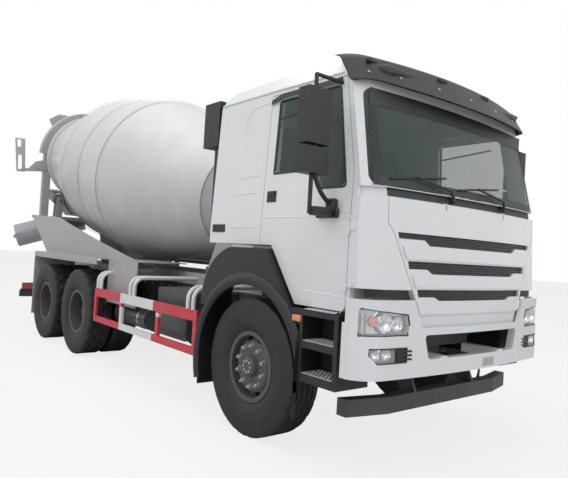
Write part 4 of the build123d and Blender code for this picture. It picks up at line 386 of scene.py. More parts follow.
@dataclass(frozen=True)
class Glazing:
    """Window glass, faintly green, with a thin film of dust."""

    name: str
    colour: Colour = (0.09, 0.13, 0.125)
    alpha: float = 0.27
    roughness: float = 0.03

    def material(self) -> bpy.types.Material:
        """Builds the material.

        Returns:
            The material.
        """
        shader = Shader(self.name)
        film = shader.ramp(shader.noise(1.7, 5.0, 0.6), (0.4, 0.0), (0.9, 1.0))
        return shader.surface(
            Base_Color=shader.mix(film * 0.15, self.colour, (0.35, 0.37, 0.36)),
            Alpha=(film * 0.08 + self.alpha).clamped(),
            Roughness=film * 0.1 + self.roughness,
            IOR=1.5,
        )


@dataclass(frozen=True)
class LampLens:
    """Clear or coloured lamp glass, moulded with fine flutes."""

    name: str
    colour: Colour = (0.85, 0.87, 0.88)
    alpha: float = 0.3
    flutes: float = 90.0

    def material(self) -> bpy.types.Material:
        """Builds the material.

        Returns:
            The material.
        """
        shader = Shader(self.name)
        ribs = shader.ribs("Y", self.flutes / 6.0)
        tint = shader.noise(12.0)
        return shader.surface(
            Base_Color=shader.mix(tint * 0.2, self.colour, (0.95, 0.95, 0.95)),
            Alpha=(tint * 0.05 + self.alpha).clamped(),
            Roughness=tint * 0.05 + 0.05,
            Normal=shader.bump(ribs, 0.0008, 0.35),
            Coat_Weight=1.0,
            Coat_Roughness=0.03,
        )


@dataclass(frozen=True)
class GuardPaint:
    """Red end bands around a white middle on the side guards, with white arms above and reflective dashes."""

    name: str
    red: Colour
    white: Colour
    white_from: float
    white_to: float
    arms_above: float
    dash_height: float
    dash_depth: float = 0.02
    dash_pitch: float = 0.30
    dash_share: float = 0.5
    roughness: float = 0.35

    def material(self) -> bpy.types.Material:
        """Builds the material.

        Returns:
            The material.
        """
        shader = Shader(self.name)
        along = shader.axis("X")
        height = shader.axis("Z")
        middle = (along > self.white_from) * (along < self.white_to)
        arms = height > self.arms_above
        white = 1.0 - (1.0 - middle) * (1.0 - arms)
        strip = (height > self.dash_height - self.dash_depth) * (height < self.dash_height + self.dash_depth)
        dash = strip * (along.wave(self.dash_pitch) < self.dash_share)
        plain = white * (1.0 - dash) + (1.0 - white) * dash
        wear = shader.ramp(shader.noise(6.0, 5.0, 0.65), (0.45, 0.0), (0.8, 1.0))
        colour = shader.mix(plain, self.red, self.white)
        return shader.surface(
            Base_Color=shader.mix(wear * 0.18, colour, (0.45, 0.42, 0.4)),
            Roughness=wear * 0.25 + self.roughness,
            Normal=shader.bump(shader.noise(200.0), 0.0003, 0.2),
        )


@dataclass(frozen=True)
class Cloth:
    """Woven seat cloth."""

    name: str
    colour: Colour
    weave: float = 900.0

    def material(self) -> bpy.types.Material:
        """Builds the material.

        Returns:
            The material.
        """
        shader = Shader(self.name)
        threads = shader.ribs("Y", self.weave / 6.0) * shader.ribs("Z", self.weave / 6.0)
        shade = shader.ramp(threads, (0.0, 0.7), (1.0, 1.0))
        colour = shader.multiplied(self.colour, shade)
        return shader.surface(Base_Color=colour, Roughness=0.9, Normal=shader.bump(threads, 0.0006, 0.5))


@dataclass(frozen=True)
class WireMesh:
    """Black grille cloth with a pattern of small holes, painted near-black as painted shade seen through
    them.
    """

    name: str
    colour: Colour = (0.03, 0.03, 0.032)
    pitch: float = 0.018

    def material(self) -> bpy.types.Material:
        """Builds the material.

        Returns:
            The material.
        """
        shader = Shader(self.name)
        across = shader.axis("Y").wave(self.pitch) - 0.5
        down = shader.axis("Z").wave(self.pitch) - 0.5
        shaded_hole = (across * across + down * down) < 0.11
        # The holes' near-black colour is painted shade: the dark space behind the mesh, painted in.
        colour = shader.mix(shaded_hole, self.colour, (0.002, 0.002, 0.002))
        return shader.surface(
            Base_Color=colour, Roughness=shaded_hole * 0.4 + 0.45, Normal=shader.bump(1.0 - shaded_hole, 0.002, 0.8)
        )


WHITE = Paint(
    "white_paint", (0.83, 0.84, 0.85), roughness=0.28, coat=0.6, dust=0.10, dust_colour=(0.55, 0.53, 0.5)
)
DRUM_PAINT = Paint(
    "drum_paint", (0.68, 0.675, 0.66), roughness=0.45, coat=0.2,
    dust=0.60, dust_colour=(0.38, 0.35, 0.28), dust_low=0.9, dust_high=3.1,
)
MIXER_GREY = Paint("mixer_grey", (0.44, 0.435, 0.43), roughness=0.45, coat=0.15, dust=0.45)
CHASSIS = Paint(
    "chassis_grey", (0.035, 0.037, 0.042), roughness=0.5, coat=0.1, dust=0.5, dust_colour=(0.13, 0.12, 0.11)
)
BLACK = Plastic(
    "black_plastic", (0.010, 0.0105, 0.013), roughness=0.48, dust=0.04, dust_colour=(0.16, 0.15, 0.14)
)
DARK_BAR = Plastic("under_run_paint", (0.055, 0.056, 0.06), roughness=0.55)
TYRE = Rubber("tyre_rubber")
RIM_STEEL = Paint(
    "rim_steel", (0.085, 0.083, 0.08), roughness=0.5, coat=0.1, dust=0.6, dust_colour=(0.10, 0.09, 0.08)
)
STEEL = Metal("roller_steel", (0.55, 0.55, 0.56), roughness=0.35)
CHROME = Metal("chrome_trim", (0.85, 0.86, 0.88), roughness=0.12)
IRON = Metal("engine_iron", (0.12, 0.12, 0.125), roughness=0.6, metallic=0.4, rust=0.4)
GLASS = Glazing("window_glass")
LENS = LampLens("lamp_lens")
RED_LENS = LampLens("red_lens", (0.55, 0.02, 0.02), alpha=0.9)
AMBER_LENS = LampLens("amber_lens", (0.95, 0.28, 0.03), alpha=0.85)
GUARD_PAINT = GuardPaint(
    "guard_paint", (0.62, 0.03, 0.05), (0.80, 0.79, 0.79),
    white_from=0.98, white_to=1.80, arms_above=0.93, dash_height=0.80,
)
TANK_GREY = Paint(
    "tank_steel", (0.05, 0.055, 0.055), roughness=0.4, coat=0.2, dust=0.4, dust_colour=(0.15, 0.14, 0.13)
)
TANK_WHITE = Paint("tank_paint", (0.66, 0.66, 0.68), roughness=0.4, coat=0.2)
CHUTE_PAINT = Paint("chute_paint", (0.46, 0.47, 0.50), roughness=0.45, coat=0.1, dust=0.6)
CAB_METAL = Plastic("cab_floor", (0.05, 0.05, 0.055), roughness=0.7)
INTERIOR = Plastic("interior_plastic", (0.10, 0.10, 0.105), roughness=0.65, grain=0.001)
SEAT_CLOTH = Cloth("seat_cloth", (0.13, 0.13, 0.14))
CURTAIN = Cloth("bunk_cloth", (0.35, 0.35, 0.36))
GRILLE_MESH = WireMesh("grille_mesh")


# ==== Meshes =====================================================================================


class Shape:
    """Mesh that is put together from a few kinds of solid, in the truck's frame."""

    def __init__(self) -> None:
        """Starts with no faces."""
        self.mesh = bmesh.new()

    def box(self, low: Point, high: Point, turn: Matrix | None = None) -> "Shape":
        """Adds a box.

        Args:
            low: Lowest corner.
            high: Highest corner.
            turn: Turn about the box's middle.

        Returns:
            This shape.
        """
        middle = (Vector(low) + Vector(high)) / 2
        size = Vector(high) - Vector(low)
        place = Matrix.Translation(middle) @ (turn or Matrix()) @ Matrix.Diagonal((*size, 1.0))
        bmesh.ops.create_cube(self.mesh, size=1.0, matrix=place)
        return self

    def slab(self, along: Flat, across: Flat, height: Flat) -> "Shape":
        """Adds a box whose ends across the truck come in either order.

        Args:
            along: Its back and front.
            across: Its two ends along Y.
            height: Its foot and top.

        Returns:
            This shape.
        """
        near, far = sorted(across)
        return self.box((along[0], near, height[0]), (along[1], far, height[1]))

    def prism(self, outline: Sequence[Point], push: Point) -> "Shape":
        """Adds a flat outline pushed along a vector.

        Args:
            outline: Corners in order.
            push: Vector from the first face to the last.

        Returns:
            This shape.
        """
        near = [self.mesh.verts.new(point) for point in outline]
        far = [self.mesh.verts.new(Vector(point) + Vector(push)) for point in outline]
        count = len(outline)
        self.mesh.faces.new(near[::-1])
        self.mesh.faces.new(far)
        for index in range(count):
            follow = (index + 1) % count
            self.mesh.faces.new((near[index], near[follow], far[follow], far[index]))
        return self

    def lathe(
        self,
        profile: Sequence[Flat],
        origin: Point,
        axis: Point,
        steps: int = 48,
        closed: bool = False,
        wobble: Callable[[int, int], Flat] | None = None,
    ) -> "Shape":
        """Turns a profile about an axis.

        Args:
            profile: Points as place along the axis and radius.
            origin: Zero of the axis.
            axis: Direction of the axis.
            steps: Faces round the axis.
            closed: Whether the profile's end joins its start.
            wobble: Shift of place and radius for a step and a profile point.

        Returns:
            This shape.
        """
        along = Vector(axis).normalized()
        side = along.orthogonal().normalized()
        up = along.cross(side)
        rings = []
        for step in range(steps):
            angle = 2 * math.pi * step / steps
            out = side * math.cos(angle) + up * math.sin(angle)
            ring = []
            for index, (place, radius) in enumerate(profile):
                shift_place, shift_radius = wobble(step, index) if wobble else (0.0, 0.0)
                point = Vector(origin) + along * (place + shift_place) + out * (radius + shift_radius)
                ring.append(self.mesh.verts.new(point))
            rings.append(ring)
        last = len(profile) if closed else len(profile) - 1
        for step in range(steps):
            here, there = rings[step], rings[(step + 1) % steps]
            for index in range(last):
                follow = (index + 1) % len(profile)
                self.mesh.faces.new((here[index], here[follow], there[follow], there[index]))
        return self

    def pipe(self, points: Sequence[Point], radius: float, steps: int = 12, bend: float = 0.0) -> "Shape":
        """Adds a round bar through points.

        Args:
            points: Corners of its middle line.
            radius: Half its thickness.
            steps: Faces round it.
            bend: Radius of its bends.

        Returns:
            This shape.
        """
        line = rounded_line([Vector(point) for point in points], bend)
        rings = []
        side = (line[1] - line[0]).orthogonal().normalized()
        for index, point in enumerate(line):
            before = line[max(index - 1, 0)]
            after = line[min(index + 1, len(line) - 1)]
            along = (after - before).normalized()
            side = (side - along * side.dot(along)).normalized()
            up = along.cross(side)
            circle = on_circle(1.0, steps)
            rings.append([self.mesh.verts.new(point + (side * c + up * s) * radius) for c, s in circle])
        for here, there in zip(rings, rings[1:]):
            for k in range(steps):
                follow = (k + 1) % steps
                self.mesh.faces.new((here[k], here[follow], there[follow], there[k]))
        self.mesh.faces.new(rings[0][::-1])
        self.mesh.faces.new(rings[-1])
        return self

    def bolts(self, places: Iterable[Point], axis: Point, radius: float, height: float) -> "Shape":
        """Adds hexagon heads on washers.

        Args:
            places: Middles of the heads on the face they clamp.
            axis: Outward direction.
            radius: Half the head's width over its corners.
            height: Height of the head.

        Returns:
            This shape.
        """
        rim, foot = radius * 1.35, height * 0.25
        washer = [(0, 0), (0, rim), (foot, rim), (foot, 0)]
        head = [(foot, radius), (height * 0.9, radius), (height, radius * 0.85), (height, 0)]
        for place in places:
            self.lathe(washer, place, axis, 14)
            self.lathe(head, place, axis, 6)
        return self

    def loft(self, rings: Sequence[Sequence[Point]], capped: bool = True) -> "Shape":
        """Skins a row of outlines that have as many points each.

        Args:
            rings: The outlines in order.
            capped: Whether the ends are closed.

        Returns:
            This shape.
        """
        made = [[self.mesh.verts.new(point) for point in ring] for ring in rings]
        count = len(made[0])
        for here, there in zip(made, made[1:]):
            for index in range(count):
                follow = (index + 1) % count
                self.mesh.faces.new((here[index], here[follow], there[follow], there[index]))
        if capped:
            self.mesh.faces.new(made[0][::-1])
            self.mesh.faces.new(made[-1])
        return self

    def strip(self, edges: Sequence[tuple[Vector, Vector]], thickness: float) -> "Shape":
        """Adds a thin band between two lines, thickened backwards.

        Args:
            edges: Pairs of points across the band.
            thickness: Its thickness along X.

        Returns:
            The shape.
        """
        back = Vector((-thickness, 0.0, 0.0))
        return self.loft([(first, second, second + back, first + back) for first, second in edges])

    def object(self, name: str, smooth: float = 35.0, bevel: float = 0.0) -> bpy.types.Object:
        """Makes the object.

        Args:
            name: Its name.
            smooth: Angle in degrees under which edges are smooth.
            bevel: Width of the rounding of its edges.

        Returns:
            The object, linked to the scene.
        """
        bmesh.ops.recalc_face_normals(self.mesh, faces=self.mesh.faces[:])
        data = bpy.data.meshes.new(name)
        self.mesh.to_mesh(data)
        self.mesh.free()
        data.polygons.foreach_set("use_smooth", [True] * len(data.polygons))
        data.set_sharp_from_angle(angle=math.radians(smooth))
        made = bpy.data.objects.new(name, data)
        bpy.context.scene.collection.objects.link(made)
        if bevel:
            rounding = made.modifiers.new("rounding", "BEVEL")
            rounding.width = bevel
            rounding.segments = 2
            rounding.limit_method = "ANGLE"
            rounding.angle_limit = math.radians(40)
        return made


def on_circle(radius: float, count: int, shift: float = 0.0) -> list[Flat]:
    """Finds even places on a circle about zero.

    Args:
        radius: The circle's radius.
        count: Number of places.
        shift: Turn of the first place, in steps.

    Returns:
        The places.
    """
    angles = [2 * math.pi * (index + shift) / count for index in range(count)]
    return [(radius * math.cos(angle), radius * math.sin(angle)) for angle in angles]


def rounded_line(points: Sequence[Vector], bend: float, steps: int = 6) -> list[Vector]:
    """Rounds the corners of a line.

    Args:
        points: Its corners.
        bend: Distance from a corner to where the bend starts.
        steps: Pieces of each bend.

    Returns:
        The points of the rounded line.
    """
    if not bend or len(points) < 3:
        return list(points)
    line = [points[0]]
    for before, corner, after in zip(points, points[1:], points[2:]):
        reach = min(bend, (corner - before).length * 0.49, (after - corner).length * 0.49)
        start = corner + (before - corner).normalized() * reach
        end = corner + (after - corner).normalized() * reach
        for step in range(steps + 1):
            share = step / steps
            line.append(start.lerp(corner, share).lerp(corner.lerp(end, share), share))
    line.append(points[-1])
    return line


@dataclass
class Assembly:
    """Part of the truck that shares a body."""

    made: list[bpy.types.Object] = field(default_factory=list, init=False)

    def add(
        self,
        piece: bpy.types.Object,
        body: str,
        slot: str,
        finish: Finish,
        replaces: Sequence[str] = (),
    ) -> bpy.types.Object:
        """Fits one piece to its body and finish.

        Args:
            piece: The object.
            body: Body that it rides on.
            slot: The record's material slot. Not used.
            finish: Its finish.
            replaces: Nodes that it stands for.

        Returns:
            The object.
        """
        piece.data.materials.clear()
        piece.data.materials.append(FINISHES.get(finish))
        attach(piece, body)
        if replaces:
            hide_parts(*replaces)
        self.made.append(piece)
        log.info("%s: %s, %d faces", type(self).__name__, piece.name, len(piece.data.polygons))
        return piece


class Finishes:
    """Materials by finish, each built once."""

    def __init__(self) -> None:
        """Starts with none built."""
        self.built: dict[str, bpy.types.Material] = {}

    def get(self, finish: Finish) -> bpy.types.Material:
        """Looks up a finish's material, and builds it when it is first asked for.

        Args:
            finish: The finish.

        Returns:
            The material.
        """
        if finish.name not in self.built:
            self.built[finish.name] = finish.material()
        return self.built[finish.name]


FINISHES = Finishes()
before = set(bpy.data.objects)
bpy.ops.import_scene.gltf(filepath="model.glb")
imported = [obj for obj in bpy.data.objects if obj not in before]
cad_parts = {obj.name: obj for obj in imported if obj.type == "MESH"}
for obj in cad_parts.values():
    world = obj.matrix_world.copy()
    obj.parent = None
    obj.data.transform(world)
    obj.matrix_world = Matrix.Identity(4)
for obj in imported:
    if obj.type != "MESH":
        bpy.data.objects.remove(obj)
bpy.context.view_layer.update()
DOOR_AHEAD_OF_AXLE = 0.063


def corners(node: str) -> tuple[Vector, Vector]:
    """Lowest and highest corner of a node."""
    low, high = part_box(node)
    return Vector(low), Vector(high)


class Skin:
    """Outer faces of some nodes, so that a fitting can be laid on them."""

    def __init__(self, *nodes: str) -> None:
        """Reads the faces.

        Args:
            nodes: Names of the nodes.
        """
        points: list[Vector] = []
        faces: list[list[int]] = []
        for name in nodes:
            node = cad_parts[name]
            start = len(points)
            points.extend(node.matrix_world @ vertex.co for vertex in node.data.vertices)
            faces.extend([start + index for index in face.vertices] for face in node.data.polygons)
        self.tree = BVHTree.FromPolygons(points, faces)

    def front(self, across: float, height: float, proud: float = 0.0) -> Vector:
        """Finds a point of the skin as it is met from the front.

        Args:
            across: Its place along Y.
            height: Its place along Z.
            proud: Distance that the point stands in front of the skin.

        Returns:
            The point.
        """
        start = Vector((9.0, across, height))
        met = self.tree.ray_cast(start, Vector((-1.0, 0.0, 0.0)))[0]
        if met is None:
            near = self.tree.find_nearest(Vector((4.6, across, height)))[0]
            met = Vector((near.x, across, height))
        return met + Vector((proud, 0.0, 0.0))


def between(points: Sequence[Flat], pieces: int) -> list[Flat]:
    """Adds even steps to a line of flat points.

    Args:
        points: The line's corners.
        pieces: Steps from each corner to the next.

    Returns:
        The line with the steps.
    """
    line = []
    for (left, low), (right, high) in zip(points, points[1:]):
        for step in range(pieces):
            share = step / pieces
            line.append((left + (right - left) * share, low + (high - low) * share))
    return [*line, points[-1]]


# ==== Wheels =====================================================================================


@dataclass
class Tyre(Assembly):
    """Tyre with its tread and the mouldings of its sidewall."""

    node: str
    body: str
    middles: tuple[float, ...]
    tread: Tread = Tread.RIB
    half_width: float = 0.156
    groove_depth: float = 0.013
    zigzag: float = 0.0045
    rib_edge: float = 0.070
    shoulder_edge: float = 0.146
    steps: int = 132

    def build(self) -> None:
        """Builds the tyres of one node."""
        low, high = corners(self.node)
        radius = (high.z - low.z) / 2
        axle = (low + high) / 2
        shape = Shape()
        for middle in self.middles:
            self._ring(shape, (axle.x, middle, axle.z), radius)
        self.add(shape.object(f"tread_{self.node}", 30), self.body, "tyre", TYRE, (self.node,))

    def _ring(self, shape: Shape, origin: Point, radius: float) -> None:
        """Turns one tyre.

        Args:
            shape: Shape it is added to.
            origin: Its middle.
            radius: Its outer radius.
        """
        half = self.half_width
        side = [
            (0.112, 0.268), (0.115, 0.290), (0.128, 0.302), (0.134, 0.318), (0.136, 0.322), (0.142, 0.330),
            (0.1465, 0.352), (0.1485, 0.354), (0.1530, 0.390), (half - 0.0005, 0.425), (half, 0.429),
            (half, 0.434), (half - 0.001, 0.438), (0.1545, 0.462), (0.1510, 0.492), (0.1525, 0.495),
            (0.1500, 0.520), (0.1450, 0.538), (0.1400, 0.549),
        ]
        deep = -self.groove_depth
        tops = [
            (0.1330, -0.0030, False), (0.1220, -0.0008, False),
            (0.0840, 0.0, True), (0.0815, deep, True), (0.0745, deep, True), (0.0720, 0.0, True),
            (0.0330, 0.0, True), (0.0305, deep, True), (0.0235, deep, True), (0.0210, 0.0, True),
        ]
        half_profile = [(place, height, False) for place, height in side]
        half_profile += [(place, radius + drop, zigzags) for place, drop, zigzags in tops]
        other_half = [(-place, height, zigzags) for place, height, zigzags in reversed(half_profile)]
        profile = half_profile + other_half
        lugs = self.tread is Tread.LUG
        lug_depth = self.groove_depth * (0.95 if lugs else 0.45)

        def wobble(step: int, index: int) -> Flat:
            """Shapes the zigzag of the grooves and the notches across the tread.

            Args:
                step: Step round the tyre.
                index: Point of the profile.

            Returns:
                Shift of the point's place and radius.
            """
            place, height, zigzags = profile[index]
            across = abs(place)
            zig = self.zigzag if (step // 3) % 2 else -self.zigzag
            raised = height > radius - self.groove_depth * 0.9
            notch = step % 6 == 0 or (lugs and step % 6 == 1)
            outer = self.rib_edge < across < self.shoulder_edge and notch
            inner = across < self.rib_edge and lugs and (step + 3) % 6 in (0, 1)
            return zig if zigzags else 0.0, -lug_depth if raised and (outer or inner) else 0.0

        outline = [(place, height) for place, height, _ in profile]
        shape.lathe(outline, origin, (0, 1, 0), self.steps, closed=True, wobble=wobble)


NUT_WASHER = [(0, 0), (0, 0.021), (0.004, 0.021), (0.004, 0.0165)]
NUT_HEAD = [(0.004, 0.0185), (0.024, 0.0185), (0.027, 0.016), (0.027, 0.0095), (0.040, 0.0095), (0.040, 0)]


@dataclass
class WheelFittings(Assembly):
    """Wheel nuts and hub cap bolts of one wheel end."""

    rim: str
    body: str
    side: Side
    face: float
    hub_face: float
    hub_radius: float
    nut_circle: float = 0.1675
    nut_count: int = 10
    cap_share: float = 0.78
    cap_count: int = 8

    def build(self) -> None:
        """Builds the nuts and the cap's bolts."""
        low, high = corners(self.rim)
        axle = (low + high) / 2
        out = float(self.side.value)
        outward = (0, out, 0)
        nuts = Shape()
        for across, height in on_circle(self.nut_circle, self.nut_count, 0.5):
            place = (axle.x + across, out * self.face, axle.z + height)
            nuts.lathe(NUT_WASHER, place, outward, 16)
            nuts.lathe(NUT_HEAD, place, outward, 6)
        self.add(nuts.object(f"wheel_nuts_{self.rim}", 40), self.body, "roller_steel", STEEL)
        circle = on_circle(self.hub_radius * self.cap_share, self.cap_count)
        places = [(axle.x + across, out * self.hub_face, axle.z + height) for across, height in circle]
        cap = Shape()
        cap.bolts(places, outward, 0.008, 0.007)
        self.add(cap.object(f"hub_bolts_{self.rim}", 40), self.body, "roller_steel", STEEL)


# ==== Cab ========================================================================================


@dataclass
class FrontLamps(Assembly):
    """Insides of the head lamps and fog lamps, and the black covers beside them."""

    depth: float = 0.048
    head_inner: float = 0.797
    head_outer: float = 1.165
    head_foot: float = 1.000
    head_inner_top: float = 1.132
    head_outer_top: float = 1.170
    fog_inner: float = 0.905
    fog_outer: float = 1.110
    fog_foot: float = 0.822
    fog_top: float = 0.905
    fog_z: float = 0.864
    columns: int = 12
    cover_inner: float = 0.802
    cover_width: float = 0.103
    cover_heights: Flat = (0.818, 0.909)
    vent_inner: float = 0.775
    vent_width: float = 0.315
    vent_heights: Flat = (1.243, 1.297)
    vent_depth: float = 0.022
    ledge_half: float = 0.690
    ledge_heights: Flat = (1.030, 1.196)
    ledge_depth: float = 0.042
    skin: Skin = field(init=False)
    around: Skin = field(init=False)

    def build(self) -> None:
        """Builds reflectors, bulbs, gaskets and covers on both sides."""
        self.skin = Skin("lamps")
        self.around = Skin("lamps", "front_bumper")
        for side in Side:
            self._walls(side)
            self._head_bowls(side)
            self._fog_bowls(side)
            self._gaskets(side)
            self._cover(side)
            self._vent(side)
        self._ledge()

    def _walls(self, side: Side) -> None:
        """Bright back walls of the lamps.

        Args:
            side: Side of the truck.
        """
        shape = Shape()
        lamps = (
            (self.head_inner, self.head_outer, self.head_foot, self.head_inner_top, self.head_outer_top),
            (self.fog_inner, self.fog_outer, self.fog_foot, self.fog_top, self.fog_top),
        )
        for inner, outer, foot, inner_top, outer_top in lamps:
            edges = []
            for column in range(self.columns + 1):
                share = column / self.columns
                across = side.value * (inner + (outer - inner) * share)
                top = inner_top + (outer_top - inner_top) * share
                reach = self.skin.front(across, (foot + top) / 2, -self.depth).x
                edges.append((Vector((reach, across, foot)), Vector((reach, across, top))))
            shape.strip(edges, 0.002)
        piece = shape.object(f"lamp_walls_{side.letter}", 20)
        self.add(piece, "chassis", "lens", CHROME)

    def _head_bowls(self, side: Side) -> None:
        """Main, dipped and turning lamps of one head lamp.

        Args:
            side: Side of the truck.
        """
        bowls = Shape()
        bulbs = Shape()
        for across, height, radius in ((0.990, 1.078, 0.064), (0.878, 1.068, 0.050)):
            base = self.skin.front(side.value * across, height, -self.depth + 0.003)
            ring = [
                (0.0, radius * 0.2), (0.004, radius * 0.5), (0.014, radius * 0.82), (0.026, radius),
                (0.031, radius * 1.04), (0.027, radius * 1.09), (0.0, radius * 1.10),
            ]
            bowls.lathe(ring, base, (1, 0, 0), 40)
            bulb = [(0.004, 0.0), (0.020, radius * 0.20), (0.010, radius * 0.34), (0.0, radius * 0.36)]
            bulbs.lathe(bulb, base, (1, 0, 0), 24)
        amber = Shape()
        base = self.skin.front(side.value * 1.066, 1.086, -self.depth + 0.004)
        dome = [(0.0, 0.0), (0.032, 0.010), (0.030, 0.026), (0.014, 0.036), (0.0, 0.037)]
        amber.lathe(dome, base, (1, 0, 0), 28)
        fins = Shape()
        for across in (0.838, 0.930, 1.112, 1.140):
            base = self.skin.front(side.value * across, 1.070, -self.depth)
            low = (base.x, base.y - 0.003, self.head_foot + 0.004)
            fins.box(low, (base.x + 0.020, base.y + 0.003, 1.136))
        self.add(bowls.object(f"lamp_bowls_{side.letter}"), "chassis", "lens", CHROME)
        self.add(bulbs.object(f"lamp_bulbs_{side.letter}"), "chassis", "lens", STEEL)
        self.add(fins.object(f"lamp_fins_{side.letter}"), "chassis", "lens", CHROME)
        self.add(amber.object(f"turn_lamp_{side.letter}"), "chassis", "lens", AMBER_LENS)

    def _fog_bowls(self, side: Side) -> None:
        """Pair of bowls in one fog lamp.

        Args:
            side: Side of the truck.
        """
        bowls = Shape()
        ring = [(0.0, 0.006), (0.006, 0.018), (0.020, 0.033), (0.026, 0.036), (0.022, 0.039), (0.0, 0.040)]
        for across in (0.955, 1.052):
            base = self.skin.front(side.value * across, self.fog_z, -self.depth + 0.003)
            bowls.lathe(ring, base, (1, 0, 0), 32)
        self.add(bowls.object(f"fog_bowls_{side.letter}"), "chassis", "lens", CHROME)

    def _gaskets(self, side: Side) -> None:
        """Dark seal round each lamp, which also stands in as painted shade for the recess round the lamp.

        Args:
            side: Side of the truck.
        """
        head = [
            (0.800, 0.996), (0.785, 1.065), (0.805, 1.134), (1.162, 1.174), (1.170, 1.150), (1.170, 0.994),
            (0.800, 0.996),
        ]
        fog = [(0.800, 0.815), (0.800, 0.912), (1.112, 0.912), (1.114, 0.870), (1.058, 0.815), (0.800, 0.815)]
        for name, outline in (("head", head), ("fog", fog)):
            line = [self.around.front(side.value * y, z, 0.001) for y, z in between(outline, 5)]
            shape = Shape()
            # The dark ring is partly a seal and partly painted shade: the shadow line of the recess round the
            # lamp.
            shape.pipe(line, 0.0045, 6)
            piece = shape.object(f"{name}_lamp_seal_{side.letter}")
            self.add(piece, "chassis", "black_plastic", BLACK)

    def _cover(self, side: Side) -> None:
        """Black cover over the fog lamp's inner end, with its three fins.

        Args:
            side: Side of the truck.
        """
        shape = Shape()
        edges = []
        foot, top = self.cover_heights
        for column in range(5):
            across = side.value * (self.cover_inner + self.cover_width * column / 4)
            reach = self.skin.front(across, 0.865, 0.0025).x
            edges.append((Vector((reach, across, foot)), Vector((reach, across, top))))
        shape.strip(edges, 0.006)
        fin_places = (0.755, 0.790, 0.830, 0.870, 0.895)
        for height in (0.835, 0.862, 0.889):
            line = [self.around.front(side.value * y, height, 0.002) for y in fin_places]
            shape.pipe(line, 0.007, 8)
        piece = shape.object(f"fog_lamp_cover_{side.letter}")
        self.add(piece, "chassis", "black_plastic", BLACK)

    def _vent(self, side: Side) -> None:
        """Black insert in the gap above one head lamp.

        Args:
            side: Side of the truck.
        """
        front = Skin("cab_front")
        edges = []
        foot, top = self.vent_heights
        for column in range(9):
            across = side.value * (self.vent_inner + self.vent_width * column / 8)
            reach = front.front(across, 1.330, -self.vent_depth).x
            edges.append((Vector((reach, across, foot)), Vector((reach, across, top))))
        shape = Shape()
        shape.strip(edges, 0.010)
        self.add(shape.object(f"corner_vent_{side.letter}"), "cab", "black_plastic", BLACK)

    def _ledge(self) -> None:
        """Light panel behind the bumper's dip, under the lid, and what fills the bumper's mouth."""
        panel = Shape()
        edges = []
        foot, top = self.ledge_heights
        for column in range(17):
            across = self.ledge_half * (2 * column / 16 - 1)
            reach = self.around.front(across, 1.020, -self.ledge_depth).x
            edges.append((Vector((reach, across, foot)), Vector((reach, across, top))))
        panel.strip(edges, 0.006)
        self.add(panel.object("bumper_ledge"), "chassis", "bumper_paint", WHITE)
        plate = Shape()
        front = self.around.front(0.170, 0.770, 0.001).x
        plate.box((front, 0.095, 0.722), (front + 0.003, 0.250, 0.786))
        self.add(plate.object("front_plate", bevel=0.001), "chassis", "bumper_paint", STEEL)


